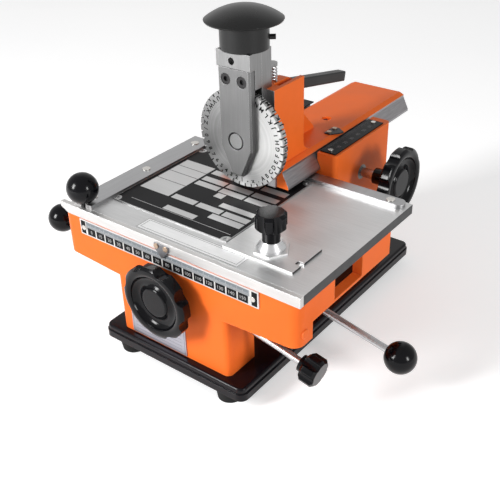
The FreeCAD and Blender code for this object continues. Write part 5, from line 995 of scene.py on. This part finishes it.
# %% Six-sided washer
WASHER_CORNER = 14.0
WASHER_EDGE = 0.3
washer_low, washer_high = box_mm("stop_washer")
washer_middle = (washer_low + washer_high) / 2
washer_thick = washer_high[2] - washer_low[2]
washer = make_mesh("six_sided_washer", *turned(
    [(WASHER_CORNER, 0.0), (WASHER_CORNER, washer_thick - WASHER_EDGE),
     (WASHER_CORNER - WASHER_EDGE, washer_thick)],
    (*washer_middle[:2], washer_low[2]), (0, 0, 1), (1, 0, 0), 6))
washer.data.materials.append(table_steel)
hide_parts("stop_washer")
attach(washer, "stop")
print("washer", len(washer.data.polygons), "faces")

# %% [markdown]
# ## Finishes of the solids
# Each solid takes one finish, also the hidden ones and the two that a new piece replaces.

# %% Finishes of the solids
FINISH = {
    plain_orange: ["bed_casting"], slide_orange: ["head_slide"], block_orange: ["rear_block"],
    base_black: ["base_plate"], rubber_black: ["rubber_feet"], grip_black: ["lever_grip"],
    knob_black: ["front_handwheel", "side_handwheel", "stop_knob", "pitch_knob", "table_ball",
                 "table_lever_ball", "release_ball"],
    cap_black: ["press_cap", "neck_pin"], plate_black: ["y_scale_plate", "cover_plate"],
    oxide_black: ["arm_screws", "y_pointer", "gib_screws", "gib_strip"],
    white_paint: ["x_scale_plate"], blank_print: ["nameplate_blank"], plate_steel: ["data_plate"],
    table_steel: ["table_plate", "stop_plate", "stop_washer"], rail_steel: ["side_rail", "rear_rail"],
    strip_steel: ["front_strip"], chrome: ["stop_cone"], pointer_steel: ["x_pointer"],
    block_steel: ["ram_block", "ram_bar"], arm_steel: ["front_arm"], axle_steel: ["wheel_axle"],
    wheel_steel: ["type_wheel"], bush_steel: ["shaft_bushes"],
    warm_steel: ["x_pointer_screws", "y_pointer_screws"],
    screw_steel: ["rail_screws", "scale_screws", "foot_screws", "body_bolts", "stop_bolt"],
    rod_steel: ["front_shaft", "side_shaft", "guide_rods", "table_lever", "release_rod", "pitch_screw",
                "hand_lever", "lever_pivot_pin", "table_lever_pin", "carriages", "x_rack",
                "y_rack", "x_pinion", "y_pinion", "return_springs"],
}
for finish, names in FINISH.items():
    for name in names:
        NODES[name].data.materials.clear()
        NODES[name].data.materials.append(finish)
print(len(FINISH), "finishes for", sum(map(len, FINISH.values())), "of", len(NODES), "solids")

# %% [markdown]
# ## Floor
# A plain pale floor carries the machine's soft shadow. A little glow that only the eye sees lifts it to
# white.

# %% Floor
FLOOR_HALF = 6.0
FLOOR_GLOW = 0.42
floor = make_mesh("floor", np.array([(-1, -1, 0), (1, -1, 0), (1, 1, 0), (-1, 1, 0)]) * FLOOR_HALF / MM,
                  [(0, 1, 2, 3)])
floor_paint, tree, shader, place = new_finish("floor_paint", Roughness=0.9, Specular_IOR_Level=0.1)
tree.links.new(maths(tree, "MULTIPLY", seen_by_eye(tree), FLOOR_GLOW), shader.inputs["Emission Strength"])
shader.inputs["Emission Color"].default_value = WHITE
cloth = use(tree, patina_tree, {"Vector": place, "Scale": 3.0, "Speck Scale": 60.0})
tree.links.new(mixed(tree, cloth["Clouds"], (0.86, 0.86, 0.865, 1.0), (0.88, 0.88, 0.88, 1.0)),
               shader.inputs["Base Color"])
floor.data.materials.append(floor_paint)
print("floor", 2 * FLOOR_HALF, "m wide")
